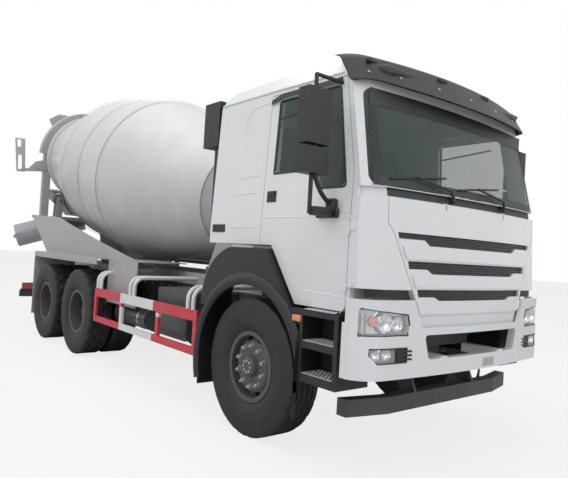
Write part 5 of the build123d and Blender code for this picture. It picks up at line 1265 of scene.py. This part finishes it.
@dataclass
class CabTrim(Assembly):
    """Handles, seals, wipers, marker lamps and seams of the cab."""

    half_width: float = 1.147
    roof_half: float = 1.095
    roof_z: float = 2.800
    belt: float = 1.750
    mirror_y: float = 1.350
    crease_sunk: float = 0.0045
    border_proud: float = 0.003
    border_side: float = 0.045
    cowl_half: float = 0.970
    cowl_heights: Flat = (1.930, 1.984)
    visor_cover_z: float = 2.835
    visor_lamp_z: float = 2.885
    visor_bolt_z: float = 2.790

    def side_y(self, height: float) -> float:
        """Half-width of the cab at a height."""
        lean = (self.half_width - self.roof_half) / (self.roof_z - self.belt)
        return self.half_width - lean * max(0.0, height - self.belt)

    def line_on_side(self, flat: Sequence[Flat], sign: int, proud: float) -> list[Point]:
        """Points on the cab's side from places along X and Z."""
        return [(x, sign * (self.side_y(z) + proud), z) for x, z in flat]

    def build(self) -> None:
        """Builds the trim of both sides, then the front."""
        low, high = corners("door_r")
        for side in Side:
            self._door(side, low.x, high.x)
            self._quarter(side, low.x)
        self._screen()
        self._visor()

    def _strip(self, name: str, line: Sequence[Point], radius: float, finish: Finish, body: str) -> None:
        """Adds a thin round strip along a line.

        Args:
            name: The piece's name.
            line: Corners of its middle line.
            radius: Half its thickness.
            finish: Its finish, which also names its slot.
            body: Body that it rides on.
        """
        shape = Shape()
        shape.pipe(line, radius, 6, 0.03)
        self.add(shape.object(name), body, finish.name, finish)

    def _door(self, side: Side, back: float, front: float) -> None:
        """Adds the fittings of one door.

        Args:
            side: Side of the truck.
            back: The door's back edge.
            front: The door's front edge.
        """
        axle = back - DOOR_AHEAD_OF_AXLE
        window = [
            (axle + 0.17, 2.13), (axle + 0.17, 2.715), (axle + 0.85, 2.715), (axle + 0.985, 1.985),
            (axle + 0.69, 1.985), (axle + 0.64, 2.13), (axle + 0.18, 2.13), (axle + 0.17, 2.13),
        ]
        crease = [(back + 0.006, 1.780), (front - 0.006, 1.775)]
        sill = [(axle + 0.62, 1.24), (front - 0.006, 1.225)]
        for name, flat, sunk, radius, finish in (
            ("window_seal", window, 0.004, 0.011, BLACK),
            ("door_crease", crease, self.crease_sunk, 0.009, WHITE),
            ("door_sill_crease", sill, self.crease_sunk, 0.008, WHITE),
        ):
            line = self.line_on_side(flat, side.value, -sunk)
            self._strip(f"{name}_{side.letter}", line, radius, finish, f"door_{side.letter}")
        self._handle(side, back)
        self._window(side, axle)
        self._mirror(side, axle)

    def _handle(self, side: Side, back: float) -> None:
        """Adds a door's handle and lock.

        Args:
            side: Side of the truck.
            back: The door's back edge.
        """
        sign, letter = side.value, side.letter
        body = f"door_{letter}"
        y = sign * self.side_y(1.94)
        handle = Shape()
        handle.slab((back + 0.050, back + 0.165), (y, y + sign * 0.006), (1.900, 1.990))
        handle.slab((back + 0.062, back + 0.153), (y, y + sign * 0.014), (1.955, 1.982))
        self.add(handle.object(f"door_handle_{letter}", bevel=0.004), body, "black_plastic", BLACK)
        barrel = [(0, 0.0), (0.004, 0.0), (0.004, 0.011), (0.0, 0.013)]
        lock = Shape()
        lock.lathe(barrel, (back + 0.052, y, 1.832), (0, sign, 0), 20)
        self.add(lock.object(f"door_lock_{letter}"), body, "black_plastic", STEEL)

    def _window(self, side: Side, axle: float) -> None:
        """Adds a door window's bar and rain shield.

        Args:
            side: Side of the truck.
            axle: Place of the front axle.
        """
        sign, letter = side.value, side.letter
        bar = Shape()
        rail_y = sign * (self.side_y(2.69) + 0.002)
        bar.pipe([(axle + 0.19, rail_y, 2.575), (axle + 0.74, rail_y, 2.62)], 0.008, 8)
        self.add(bar.object(f"window_divider_{letter}"), f"door_{letter}", "black_plastic", BLACK)
        rings = []
        sections = ((0.06, 2.752, 0.010), (0.20, 2.775, 0.028), (0.50, 2.778, 0.030), (0.86, 2.776, 0.020))
        for along, z, out in sections:
            x = axle + along
            top, foot = self.side_y(z), self.side_y(z - 0.035)
            rings.append([
                (x, sign * (top + 0.002), z),
                (x, sign * (top + out), z - 0.008),
                (x, sign * (foot + out + 0.004), z - 0.045),
                (x, sign * (foot + 0.002), z - 0.035),
            ])
        shade = Shape()
        shade.loft(rings)
        self.add(shade.object(f"rain_shield_{letter}"), f"door_{letter}", "black_plastic", BLACK)

    def _mirror(self, side: Side, axle: float) -> None:
        """Adds a mirror's foot, stays and glasses.

        Args:
            side: Side of the truck.
            axle: Place of the front axle.
        """
        sign, letter = side.value, side.letter
        body = f"door_{letter}"
        face = sign * self.half_width
        middle = sign * self.mirror_y
        mount = Shape()
        mount.slab((axle + 0.73, axle + 0.95), (face, face + sign * 0.03), (1.765, 1.835))
        mount.slab((axle + 0.85, axle + 0.93), (face, face + sign * 0.05), (1.80, 1.90))
        self.add(mount.object(f"mirror_foot_{letter}", bevel=0.012), body, "black_plastic", BLACK)
        stays = Shape()
        for shift in (-0.022, 0.022):
            x = axle + 0.86 + shift
            stays.pipe([(x, middle, 2.20), (x, middle, 2.28)], 0.011, 10)
        arm = [
            (axle + 0.88, sign * (self.half_width + 0.035), 1.86),
            (axle + 0.875, sign * 1.27, 1.93),
            (axle + 0.865, sign * 1.345, 2.08),
        ]
        stays.pipe(arm, 0.016, 12, 0.08)
        self.add(stays.object(f"mirror_stay_{letter}"), body, "black_plastic", BLACK)
        glass = Shape()
        for foot, top in ((2.265, 2.615), (2.065, 2.215)):
            glass.box((axle + 0.797, middle - 0.090, foot), (axle + 0.804, middle + 0.090, top))
        self.add(glass.object(f"mirror_glass_{letter}", bevel=0.003), body, "black_plastic", CHROME)

    def _quarter(self, side: Side, door: float) -> None:
        """Adds pressings, blank plate and gutter of the cab's side behind the door.

        Args:
            side: Side of the truck.
            door: The door's back edge.
        """
        sign = side.value
        letter = side.letter
        back = corners("cab_body")[0].x
        lines = {
            "upper": [
                (door - 0.30, 2.18), (door - 0.34, 2.26), (door - 0.34, 2.62), (door - 0.26, 2.72),
                (door - 0.06, 2.735),
            ],
            "sill": [(door - 0.34, 2.12), (door - 0.10, 2.13)],
            "middle": [(door - 0.42, 1.955), (door - 0.42, 1.985), (door - 0.10, 1.99)],
            "low": [(door - 0.42, 1.70), (door - 0.10, 1.70)],
        }
        for name, flat in lines.items():
            line = self.line_on_side(flat, sign, -0.005)
            self._strip(f"pressing_{name}_{letter}", line, 0.010, WHITE, "cab")
        plate = Shape()
        y = sign * self.half_width
        plate.slab((back + 0.04, back + 0.24), (y, y + sign * 0.005), (1.655, 1.725))
        self.add(plate.object(f"blank_plate_{letter}", bevel=0.003), "cab", "black_plastic", BLACK)
        gutter = [(back + 0.01, 2.822), (door + 0.05, 2.822), (door + 0.80, 2.812)]
        self._strip(f"roof_gutter_{letter}", self.line_on_side(gutter, sign, -0.003), 0.009, WHITE, "cab")

    def _screen(self) -> None:
        """Dark bands round the windscreen, whose deep top band is also painted shade under the visor, the
        cowl below it, and the wipers.
        """
        glass = Skin("windscreen")
        low, high = corners("windscreen")
        foot, top = low.z + 0.006, high.z - 0.006
        half = high.y - 0.006
        proud = self.border_proud
        columns = 24
        bands_and_shade = Shape()
        # The top band is 120 mm deep: beyond the glass's dark edge it is painted shade, the shadow of the sun
        # visor on the screen.
        for lower, upper in ((foot, foot + 0.058), (top - 0.120, top)):
            edges = []
            for column in range(columns + 1):
                across = half * 0.955 * (2 * column / columns - 1)
                edges.append((glass.front(across, lower, proud), glass.front(across, upper, proud)))
            bands_and_shade.strip(edges, 0.003)
        for side in Side:
            edges = []
            for row in range(9):
                share = row / 8
                height = foot + (top - foot) * share
                outer = half - 0.050 * share
                inner = glass.front(side.value * (outer - self.border_side), height, proud)
                edges.append((glass.front(side.value * (outer - 0.006), height, proud), inner))
            bands_and_shade.strip(edges, 0.003)
        self.add(bands_and_shade.object("screen_border", 50), "cab", "black_plastic", BLACK)
        face = Skin("cab_front", "cab_body")
        edges = []
        for column in range(columns + 1):
            across = self.cowl_half * (2 * column / columns - 1)
            edges.append(tuple(face.front(across, height, 0.005) for height in self.cowl_heights))
        cowl = Shape()
        cowl.strip(edges, 0.006)
        self.add(cowl.object("screen_cowl", 50), "cab", "black_plastic", BLACK)
        self._wipers(glass, face)

    def _wipers(self, glass: Skin, face: Skin) -> None:
        """Two wipers with their pivots, arms and blades.

        Args:
            glass: Skin of the windscreen.
            face: Skin of the panel below it.
        """
        wipers = Shape()
        for hub_y, tip_y in ((-0.300, -0.960), (0.430, -0.240)):
            hub = face.front(hub_y, 1.965, 0.004)
            cap = [(0.0, 0.0), (0.0, 0.030), (0.020, 0.026), (0.032, 0.016), (0.032, 0.0)]
            wipers.lathe(cap, hub, (1, 0, 0), 20)
            middle = hub_y + (tip_y - hub_y) * 0.62
            wipers.pipe(
                [
                    hub + Vector((0.022, 0.0, 0.0)),
                    glass.front(hub_y + (tip_y - hub_y) * 0.12, 2.020, 0.040),
                    glass.front(middle, 2.082, 0.024),
                ],
                0.009,
                8,
            )
            line = ((hub_y - 0.08, 2.118), (middle, 2.080), (tip_y, 2.046))
            wipers.pipe([glass.front(y, z, 0.012) for y, z in line], 0.008, 6)
        self.add(wipers.object("wipers"), "cab", "black_plastic", BLACK)

    def _visor(self) -> None:
        """Marker lamps, teardrop covers and bolts of the sun visor."""
        skin = Skin("roof_visor")
        lamps = Shape()
        covers = Shape()
        bolts = Shape()
        for side in Side:
            rings = []
            for across, tall, deep in (
                (0.960, 0.004, 0.002), (0.935, 0.030, 0.020), (0.890, 0.044, 0.034), (0.830, 0.042, 0.034),
                (0.740, 0.026, 0.022), (0.650, 0.012, 0.010), (0.600, 0.003, 0.002),
            ):
                base = skin.front(side.value * across, self.visor_cover_z, -0.006)
                ring = []
                for step in range(14):
                    angle = 2 * math.pi * step / 14
                    out = max(0.0, math.cos(angle)) * deep
                    ring.append(base + Vector((out, 0.0, tall * math.sin(angle) - out * 0.2)))
                rings.append(ring)
            covers.loft(rings)
            for across in (0.300, 0.985):
                base = skin.front(side.value * across, self.visor_lamp_z)
                low = (base.x - 0.012, base.y - 0.050, base.z - 0.016)
                lamps.box(low, (base.x + 0.016, base.y + 0.050, base.z + 0.016))
        self.add(covers.object("visor_covers", 60), "cab", "black_plastic", BLACK)
        self.add(lamps.object("marker_lamps", bevel=0.008), "cab", "black_plastic", BLACK)
        bolt_ys = (-1.04, -0.78, -0.40, 0.0, 0.40, 0.78, 1.04)
        places = [skin.front(across, self.visor_bolt_z) for across in bolt_ys]
        bolts.bolts(places, (0.86, 0, 0.51), 0.009, 0.005)
        self.add(bolts.object("visor_bolts"), "cab", "black_plastic", STEEL)


@dataclass
class Cabin(Assembly):
    """Seats, dashboard, steering wheel and bunk."""

    seat_y: float = 0.640
    seat_ahead: float = 0.15
    seat_lean: float = -9.0
    dash_ahead: float = 1.052
    dash_half: float = 1.04
    wheel_radius: float = 0.220
    wheel_grip: float = 0.014

    def build(self) -> None:
        """Builds what shows through the glass."""
        low = corners("cab_interior")[0]
        floor = low.z
        axle = corners("door_r")[0].x - DOOR_AHEAD_OF_AXLE
        for side in Side:
            self._seat(side, axle + self.seat_ahead, floor)
        self._dash(axle + self.dash_ahead, floor)
        bunk = Shape()
        bunk.box((low.x + 0.002, -0.95, floor + 0.08), (low.x + 0.398, 0.95, floor + 0.34))
        self.add(bunk.object("bunk", bevel=0.03), "cab", "interior", CURTAIN)

    def _seat(self, side: Side, seat_x: float, floor: float) -> None:
        """Adds cushion, backrest, head restraint and base of one seat.

        Args:
            side: Side of the truck.
            seat_x: The seat's place along the truck.
            floor: Height of the floor.
        """
        y = side.value * self.seat_y
        lean = Matrix.Rotation(math.radians(self.seat_lean), 4, "Y")
        cushion = Shape()
        for along, across, height, turn in (
            ((-0.28, 0.16), (-0.23, 0.23), (0.20, 0.32), None),
            ((-0.28, 0.14), (-0.25, -0.17), (0.22, 0.35), None),
            ((-0.28, 0.14), (0.17, 0.25), (0.22, 0.35), None),
            ((-0.36, -0.24), (-0.23, 0.23), (0.30, 0.86), lean),
            ((-0.37, -0.20), (-0.25, -0.17), (0.34, 0.80), lean),
            ((-0.37, -0.20), (0.17, 0.25), (0.34, 0.80), lean),
            ((-0.42, -0.32), (-0.14, 0.14), (0.87, 1.02), lean),
        ):
            low = (seat_x + along[0], y + across[0], floor + height[0])
            high = (seat_x + along[1], y + across[1], floor + height[1])
            cushion.box(low, high, turn)
        piece = cushion.object(f"seat_{side.letter}", bevel=0.03)
        piece.modifiers["rounding"].segments = 4
        self.add(piece, "cab", "interior", SEAT_CLOTH, ("cab_interior",))
        base = Shape()
        base.box((seat_x - 0.24, y - 0.19, floor), (seat_x + 0.12, y + 0.19, floor + 0.20))
        self.add(base.object(f"seat_base_{side.letter}", bevel=0.01), "cab", "interior", INTERIOR)

    def _dash(self, front: float, floor: float) -> None:
        """Adds dashboard and steering wheel.

        Args:
            front: The dashboard's front.
            floor: Height of the floor.
        """
        half = self.dash_half
        section = [
            (front, floor), (front, 1.905), (front - 0.06, 1.955), (front - 0.16, 1.965),
            (front - 0.25, 1.93), (front - 0.27, 1.87), (front - 0.22, 1.80), (front - 0.20, floor),
        ]
        shelf = [
            (front + 0.002, -half), (front + 0.002, half), (front + 0.135, 0.93), (front + 0.165, 0.0),
            (front + 0.135, -0.93),
        ]
        dash = Shape()
        dash.prism([(x, -half, z) for x, z in section], (0, 2 * half, 0))
        dash.prism([(x, y, 1.88) for x, y in shelf], (0, 0, 0.045))
        self.add(dash.object("dashboard", bevel=0.012), "cab", "interior", INTERIOR)
        hub = Vector((front - 0.395, self.seat_y, 1.972))
        aim = Vector((-0.2, 0, 0.13)).normalized()
        grip = [(z, self.wheel_radius + x) for x, z in on_circle(self.wheel_grip, 12)]
        wheel = Shape()
        wheel.lathe(grip, hub, aim, 48, closed=True)
        wheel.lathe([(-0.03, 0.0), (-0.03, 0.05), (0.015, 0.055), (0.02, 0.0)], hub, aim, 24)
        side = Vector((0, 1, 0))
        up = aim.cross(side)
        for spoke in (side * 0.215, side * -0.215, up * 0.215, up * -0.215):
            wheel.pipe([hub, hub + spoke], 0.012, 8)
        wheel.pipe([hub, hub - aim * 0.25], 0.028, 16)
        self.add(wheel.object("steering_wheel"), "cab", "interior", INTERIOR)


# ==== Chassis and mixer ==========================================================================


@dataclass
class FenderFittings(Assembly):
    """Step plates, flares and markers of the front fenders."""

    outer: float = 1.205
    tread_rows: int = 4
    tread_columns: int = 9
    flare_reach: float = 0.664

    def build(self) -> None:
        """Builds both sides."""
        low, high = corners("front_fenders")
        wheel_low, wheel_high = corners("tyre_front_r")
        axle = (wheel_low + wheel_high) / 2
        for side in Side:
            self._treads(side, (axle.x + 0.705, high.x - 0.040), (low.z + 0.380, low.z + 0.610, 1.112))
            self._flare(side, axle, high.z - 0.01)
            self._marker(side, axle.x)

    def _treads(self, side: Side, along: Flat, heights: Sequence[float]) -> None:
        """Adds plates with raised studs on one side's steps.

        Args:
            side: Side of the truck.
            along: Back and front of the steps.
            heights: Heights of the steps.
        """
        sign = side.value
        back, front = along
        stud = [(0, 0.010), (0.004, 0.008), (0.004, 0.0)]
        treads = Shape()
        for height in heights:
            across = (sign * (self.outer - 0.004), sign * (self.outer - 0.190))
            treads.slab(along, across, (height, height + 0.006))
            for row in range(self.tread_rows):
                for column in range(self.tread_columns):
                    x = back + 0.02 + column * (front - back - 0.04) / (self.tread_columns - 1)
                    y = sign * (self.outer - 0.03 - row * 0.045)
                    treads.lathe(stud, (x, y, height + 0.006), (0, 0, 1), 8)
        self.add(treads.object(f"step_treads_{side.letter}"), "chassis", "black_plastic", STEEL)

    def _flare(self, side: Side, axle: Vector, top: float) -> None:
        """Adds the flare round one wheel arch.

        Args:
            side: Side of the truck.
            axle: Middle of the front wheel.
            top: Greatest height of the flare.
        """
        section = (
            (0.668, -0.004), (0.668, 0.012), (0.690, 0.026), (0.735, 0.024), (0.765, 0.006), (0.765, -0.004),
        )
        rings = []
        for index in range(33):
            angle = math.radians(-18 + 216 * index / 32)
            ring = []
            for radius, out in section:
                x = axle.x + radius * math.cos(angle)
                z = axle.z + radius * math.sin(angle)
                ring.append((min(x, axle.x + self.flare_reach), side.value * (self.outer + out), min(z, top)))
            rings.append(ring)
        flare = Shape()
        flare.loft(rings)
        self.add(flare.object(f"wheel_arch_{side.letter}", 50), "chassis", "black_plastic", BLACK)

    def _marker(self, side: Side, axle_x: float) -> None:
        """Adds the side marker lamp behind one front wheel's steps.

        Args:
            side: Side of the truck.
            axle_x: Place of the front axle.
        """
        y = side.value * self.outer
        marker = Shape()
        marker.slab((axle_x + 0.60, axle_x + 0.69), (y, y + side.value * 0.022), (1.02, 1.065))
        self.add(marker.object(f"side_marker_{side.letter}", bevel=0.006), "chassis", "lens", AMBER_LENS)


@dataclass
class FrameFittings(Assembly):
    """Bolts along the rails, air lines, tank straps and battery cover."""

    rail_face: float = 0.425
    bolt_pitch: float = 0.24
    tank_ys: Flat = (0.600, 0.880)
    tank_z: float = 0.64
    line_ends: Flat = (2.6, -2.8)

    def build(self) -> None:
        """Builds what hangs on the ladder frame."""
        self._bolts()
        self._straps()
        self._cover()
        self._air_lines()

    def _bolts(self) -> None:
        """Adds two rows of bolts on each rail."""
        low, high = corners("frame_rails")
        bolts = Shape()
        for sign in (-1, 1):
            x = low.x + 0.12
            while x < high.x - 0.35:
                pair = [(x, sign * self.rail_face, low.z + rise) for rise in (0.06, 0.24)]
                bolts.bolts(pair, (0, sign, 0), 0.012, 0.010)
                x += self.bolt_pitch
        self.add(bolts.object("frame_bolts"), "chassis", "chassis_grey", STEEL)

    def _straps(self) -> None:
        """Adds the bands round the air tanks."""
        rear = corners("side_tanks")[0].x
        band = [(-0.02, 0.1255), (-0.02, 0.129), (0.02, 0.129), (0.02, 0.1255)]
        straps = Shape()
        for across in self.tank_ys:
            for strap in (rear + 0.18, rear + 0.65):
                straps.lathe(band, (strap, -across, self.tank_z), (1, 0, 0), 48)
        self.add(straps.object("tank_straps"), "chassis", "tank_steel", STEEL)

    def _cover(self) -> None:
        """Adds the two panels of the battery box's cover."""
        low, high = corners("battery_box")
        lid = Shape()
        for foot, top in ((high.z - 0.16, high.z - 0.03), (low.z + 0.05, high.z - 0.19)):
            lid.box((low.x + 0.02, low.y - 0.006, foot), (high.x - 0.02, low.y + 0.001, top))
        self.add(lid.object("battery_cover", bevel=0.005), "chassis", "black_plastic", TANK_GREY)

    def _air_lines(self) -> None:
        """Adds the pipes that lie inside the rails."""
        front, rear = self.line_ends
        lines = Shape()
        right = [(front, -0.36, 1.02), (1.4, -0.37, 1.01), (-0.4, -0.36, 1.02), (rear, -0.37, 1.0)]
        left = [(front, 0.34, 1.00), (1.4, 0.33, 0.99), (-0.4, 0.34, 1.00), (rear, 0.33, 0.98)]
        lines.pipe(right, 0.016, 8, 0.1)
        lines.pipe(left, 0.014, 8, 0.1)
        self.add(lines.object("air_lines"), "chassis", "black_plastic", BLACK)


@dataclass
class DrumFittings(Assembly):
    """Weld seams and head bolts of the drum."""

    slope: float = math.radians(10.5)
    head: Point = (1.744, 0.0, 2.064)
    bolt_circle: float = 0.255
    bolt_count: int = 16

    def build(self) -> None:
        """Builds the seams and the bolts about the drum's axis."""
        axis = (-math.cos(self.slope), 0.0, math.sin(self.slope))
        seams = Shape()
        for run, radius in ((0.160, 0.620), (1.990, 1.170), (2.700, 1.170), (3.450, 1.170)):
            bead = [
                (run - 0.012, radius - 0.003), (run - 0.006, radius + 0.0025), (run + 0.006, radius + 0.0025),
                (run + 0.012, radius - 0.003),
            ]
            seams.lathe(bead, self.head, axis, 128, closed=True)
        self.add(seams.object("drum_welds"), "drum", "drum_paint", DRUM_PAINT)
        side = Vector((0, 1, 0))
        up = Vector(axis).cross(side)
        circle = on_circle(1.0, self.bolt_count)
        places = [Vector(self.head) + (side * c + up * s) * self.bolt_circle for c, s in circle]
        bolts = Shape()
        bolts.bolts(places, tuple(-c for c in axis), 0.016, 0.014)
        self.add(bolts.object("drum_bolts"), "drum", "drum_paint", STEEL)


FINISHED_NODES: tuple[tuple[Finish, str], ...] = (
    (CHASSIS, "frame_rails axles knuckle_r knuckle_l drum_drive"),
    (DARK_BAR, "underrun_bars"),
    (IRON, "powertrain"),
    (WHITE, "front_bumper cab_roof cab_body cab_front door_r door_l grille_lid"),
    (LENS, "lamps"),
    (BLACK, "front_fenders roof_visor air_intake mirrors_r mirrors_l"),
    (GRILLE_MESH, "grille_slats"),
    (TANK_GREY, "battery_box side_tanks"),
    (MIXER_GREY, "rear_fenders mixer_frame rear_arch hopper discharge_funnel ladder_platform chute_bracket"),
    (GUARD_PAINT, "side_guards"),
    (TANK_WHITE, "water_tank"),
    (CAB_METAL, "cab_floor"),
    (INTERIOR, "cab_interior"),
    (GLASS, "windscreen door_glass_r door_glass_l"),
    (RIM_STEEL, "rim_front_r rim_front_l rims_mid_r rims_mid_l rims_rear_r rims_rear_l"),
    (DRUM_PAINT, "drum_shell drum_mouth"),
    (STEEL, "roller_r roller_l"),
    (CHROME, "jack_rod"),
    (CHUTE_PAINT, "chute chute_extension jack_barrel"),
)
NODE_FINISHES: dict[str, Finish] = {
    name: finish for finish, names in FINISHED_NODES for name in names.split()
}


def dress_nodes() -> None:
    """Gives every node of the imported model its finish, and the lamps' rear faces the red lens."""
    for name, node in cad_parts.items():
        finish = NODE_FINISHES.get(name, TYRE)
        node.data.materials.clear()
        node.data.materials.append(FINISHES.get(finish))
    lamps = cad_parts["lamps"]
    lamps.data.materials.append(FINISHES.get(RED_LENS))
    for face in lamps.data.polygons:
        face.material_index = 1 if face.center.x < 0 else 0


# ==== Studio =====================================================================================


@dataclass
class Studio:
    """Floor, light and camera."""

    eye: Point = (7.053, -3.861, 1.505)
    heading: float = 50.43
    tilt: float = -1.41
    roll: float = 3.35
    lens: float = 35.12
    backdrop: Colour = (1.0, 1.0, 1.0)
    floor_glow: float = 0.80
    sky: Colour = (0.93, 0.96, 1.0)
    sky_strength: float = 0.40
    light_level: float = 0.72
    floor_half: float = 60.0
    floor_tones: Flat = (0.66, 0.70)
    sensor_width: float = 36.0

    def build(self) -> None:
        """Builds the studio."""
        self._floor()
        self._world()
        self._lamps()
        self._camera()

    def _floor(self) -> None:
        """White floor that keeps the truck's shadow."""
        shape = Shape()
        half = self.floor_half
        shape.box((-half, -half, -0.05), (half, half, -0.0005))
        floor = shape.object("floor")
        shader = Shader("floor")
        dark, pale = self.floor_tones
        tone = shader.ramp(shader.noise(0.4), (0.0, dark), (1.0, pale))
        shader.surface(Base_Color=tone, Roughness=0.9)
        seen = shader.node("ShaderNodeLightPath", {}, {}, "Is Camera Ray")
        shader.glow(seen * self.floor_glow, self.backdrop)
        floor.data.materials.append(shader.material)

    def _world(self) -> None:
        """Even light from all round, with white behind the truck."""
        world = bpy.data.worlds.new("studio")
        bpy.context.scene.world = world
        world.use_nodes = True
        tree = world.node_tree
        tree.nodes.clear()
        output = tree.nodes.new("ShaderNodeOutputWorld")
        light = tree.nodes.new("ShaderNodeBackground")
        light.inputs["Color"].default_value = (*self.sky, 1.0)
        light.inputs["Strength"].default_value = self.sky_strength
        seen = tree.nodes.new("ShaderNodeBackground")
        seen.inputs["Color"].default_value = (*self.backdrop, 1.0)
        seen.inputs["Strength"].default_value = 1.0
        path = tree.nodes.new("ShaderNodeLightPath")
        rays = path.outputs["Is Camera Ray"]
        for other in ("Is Glossy Ray", "Is Transmission Ray"):
            either = tree.nodes.new("ShaderNodeMath")
            either.operation = "MAXIMUM"
            tree.links.new(rays, either.inputs[0])
            tree.links.new(path.outputs[other], either.inputs[1])
            rays = either.outputs[0]
        mix = tree.nodes.new("ShaderNodeMixShader")
        tree.links.new(rays, mix.inputs[0])
        tree.links.new(light.outputs[0], mix.inputs[1])
        tree.links.new(seen.outputs[0], mix.inputs[2])
        tree.links.new(mix.outputs[0], output.inputs[0])

    def _lamps(self) -> None:
        """Large soft lamps above and beside the truck."""
        for name, place, aim, size, power in (
            ("sky_lamp", (1.0, -3.0, 11.0), (0.0, 0.0, 1.5), 14.0, 1150.0),
            ("side_lamp", (5.0, -12.0, 6.0), (1.0, 0.0, 1.5), 8.0, 230.0),
            ("front_lamp", (14.0, 1.0, 6.0), (3.0, 0.0, 1.5), 7.0, 450.0),
        ):
            data = bpy.data.lights.new(name, "AREA")
            data.energy = power * self.light_level
            data.size = size
            lamp = bpy.data.objects.new(name, data)
            bpy.context.scene.collection.objects.link(lamp)
            lamp.location = place
            lamp.rotation_euler = (Vector(aim) - Vector(place)).to_track_quat("-Z", "Y").to_euler()

    def _camera(self) -> None:
        """Camera in front of the truck's right corner."""
        heading, tilt, roll = (math.radians(angle) for angle in (self.heading, self.tilt, self.roll))
        level_reach = math.cos(tilt)
        back = Vector((math.sin(heading) * level_reach, -math.cos(heading) * level_reach, math.sin(tilt)))
        level = (-back).cross(Vector((0, 0, 1))).normalized()
        upward = level.cross(-back)
        right = level * math.cos(roll) + upward * math.sin(roll)
        up = upward * math.cos(roll) - level * math.sin(roll)
        data = bpy.data.cameras.new("camera")
        data.lens = self.lens
        data.sensor_width = self.sensor_width
        camera = bpy.data.objects.new("camera", data)
        bpy.context.scene.collection.objects.link(camera)
        turn = Matrix((right, up, back)).transposed().to_4x4()
        camera.matrix_world = Matrix.Translation(self.eye) @ turn
        bpy.context.scene.camera = camera


def wheels() -> list[Assembly]:
    """Lists tyres and wheel fittings of the three axles.

    Returns:
        The assemblies.
    """
    parts: list[Assembly] = []
    for side in Side:
        sign = side.value
        letter = side.letter
        body = f"wheel_front_{letter}"
        parts.append(Tyre(f"tyre_front_{letter}", body, (sign * 1.011,)))
        parts.append(WheelFittings(f"rim_front_{letter}", body, side, 1.111, 1.161, 0.060))
        for place in ("mid", "rear"):
            body = f"wheel_{place}_{letter}"
            parts.append(Tyre(f"tyres_{place}_{letter}", body, (sign * 1.090, sign * 0.740), Tread.LUG))
            parts.append(WheelFittings(f"rims_{place}_{letter}", body, side, 0.929, 1.110, 0.090))
    return parts


def main() -> None:
    """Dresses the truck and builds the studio."""
    bpy.context.scene.view_settings.view_transform = "Standard"
    dress_nodes()
    cab = [FrontLamps(), CabTrim(), Cabin()]
    for part in [*wheels(), *cab, FenderFittings(), FrameFittings(), DrumFittings()]:
        part.build()
        log.info("%s: %d pieces", type(part).__name__, len(part.made))
    Studio().build()


if __name__ == "__main__":
    main()
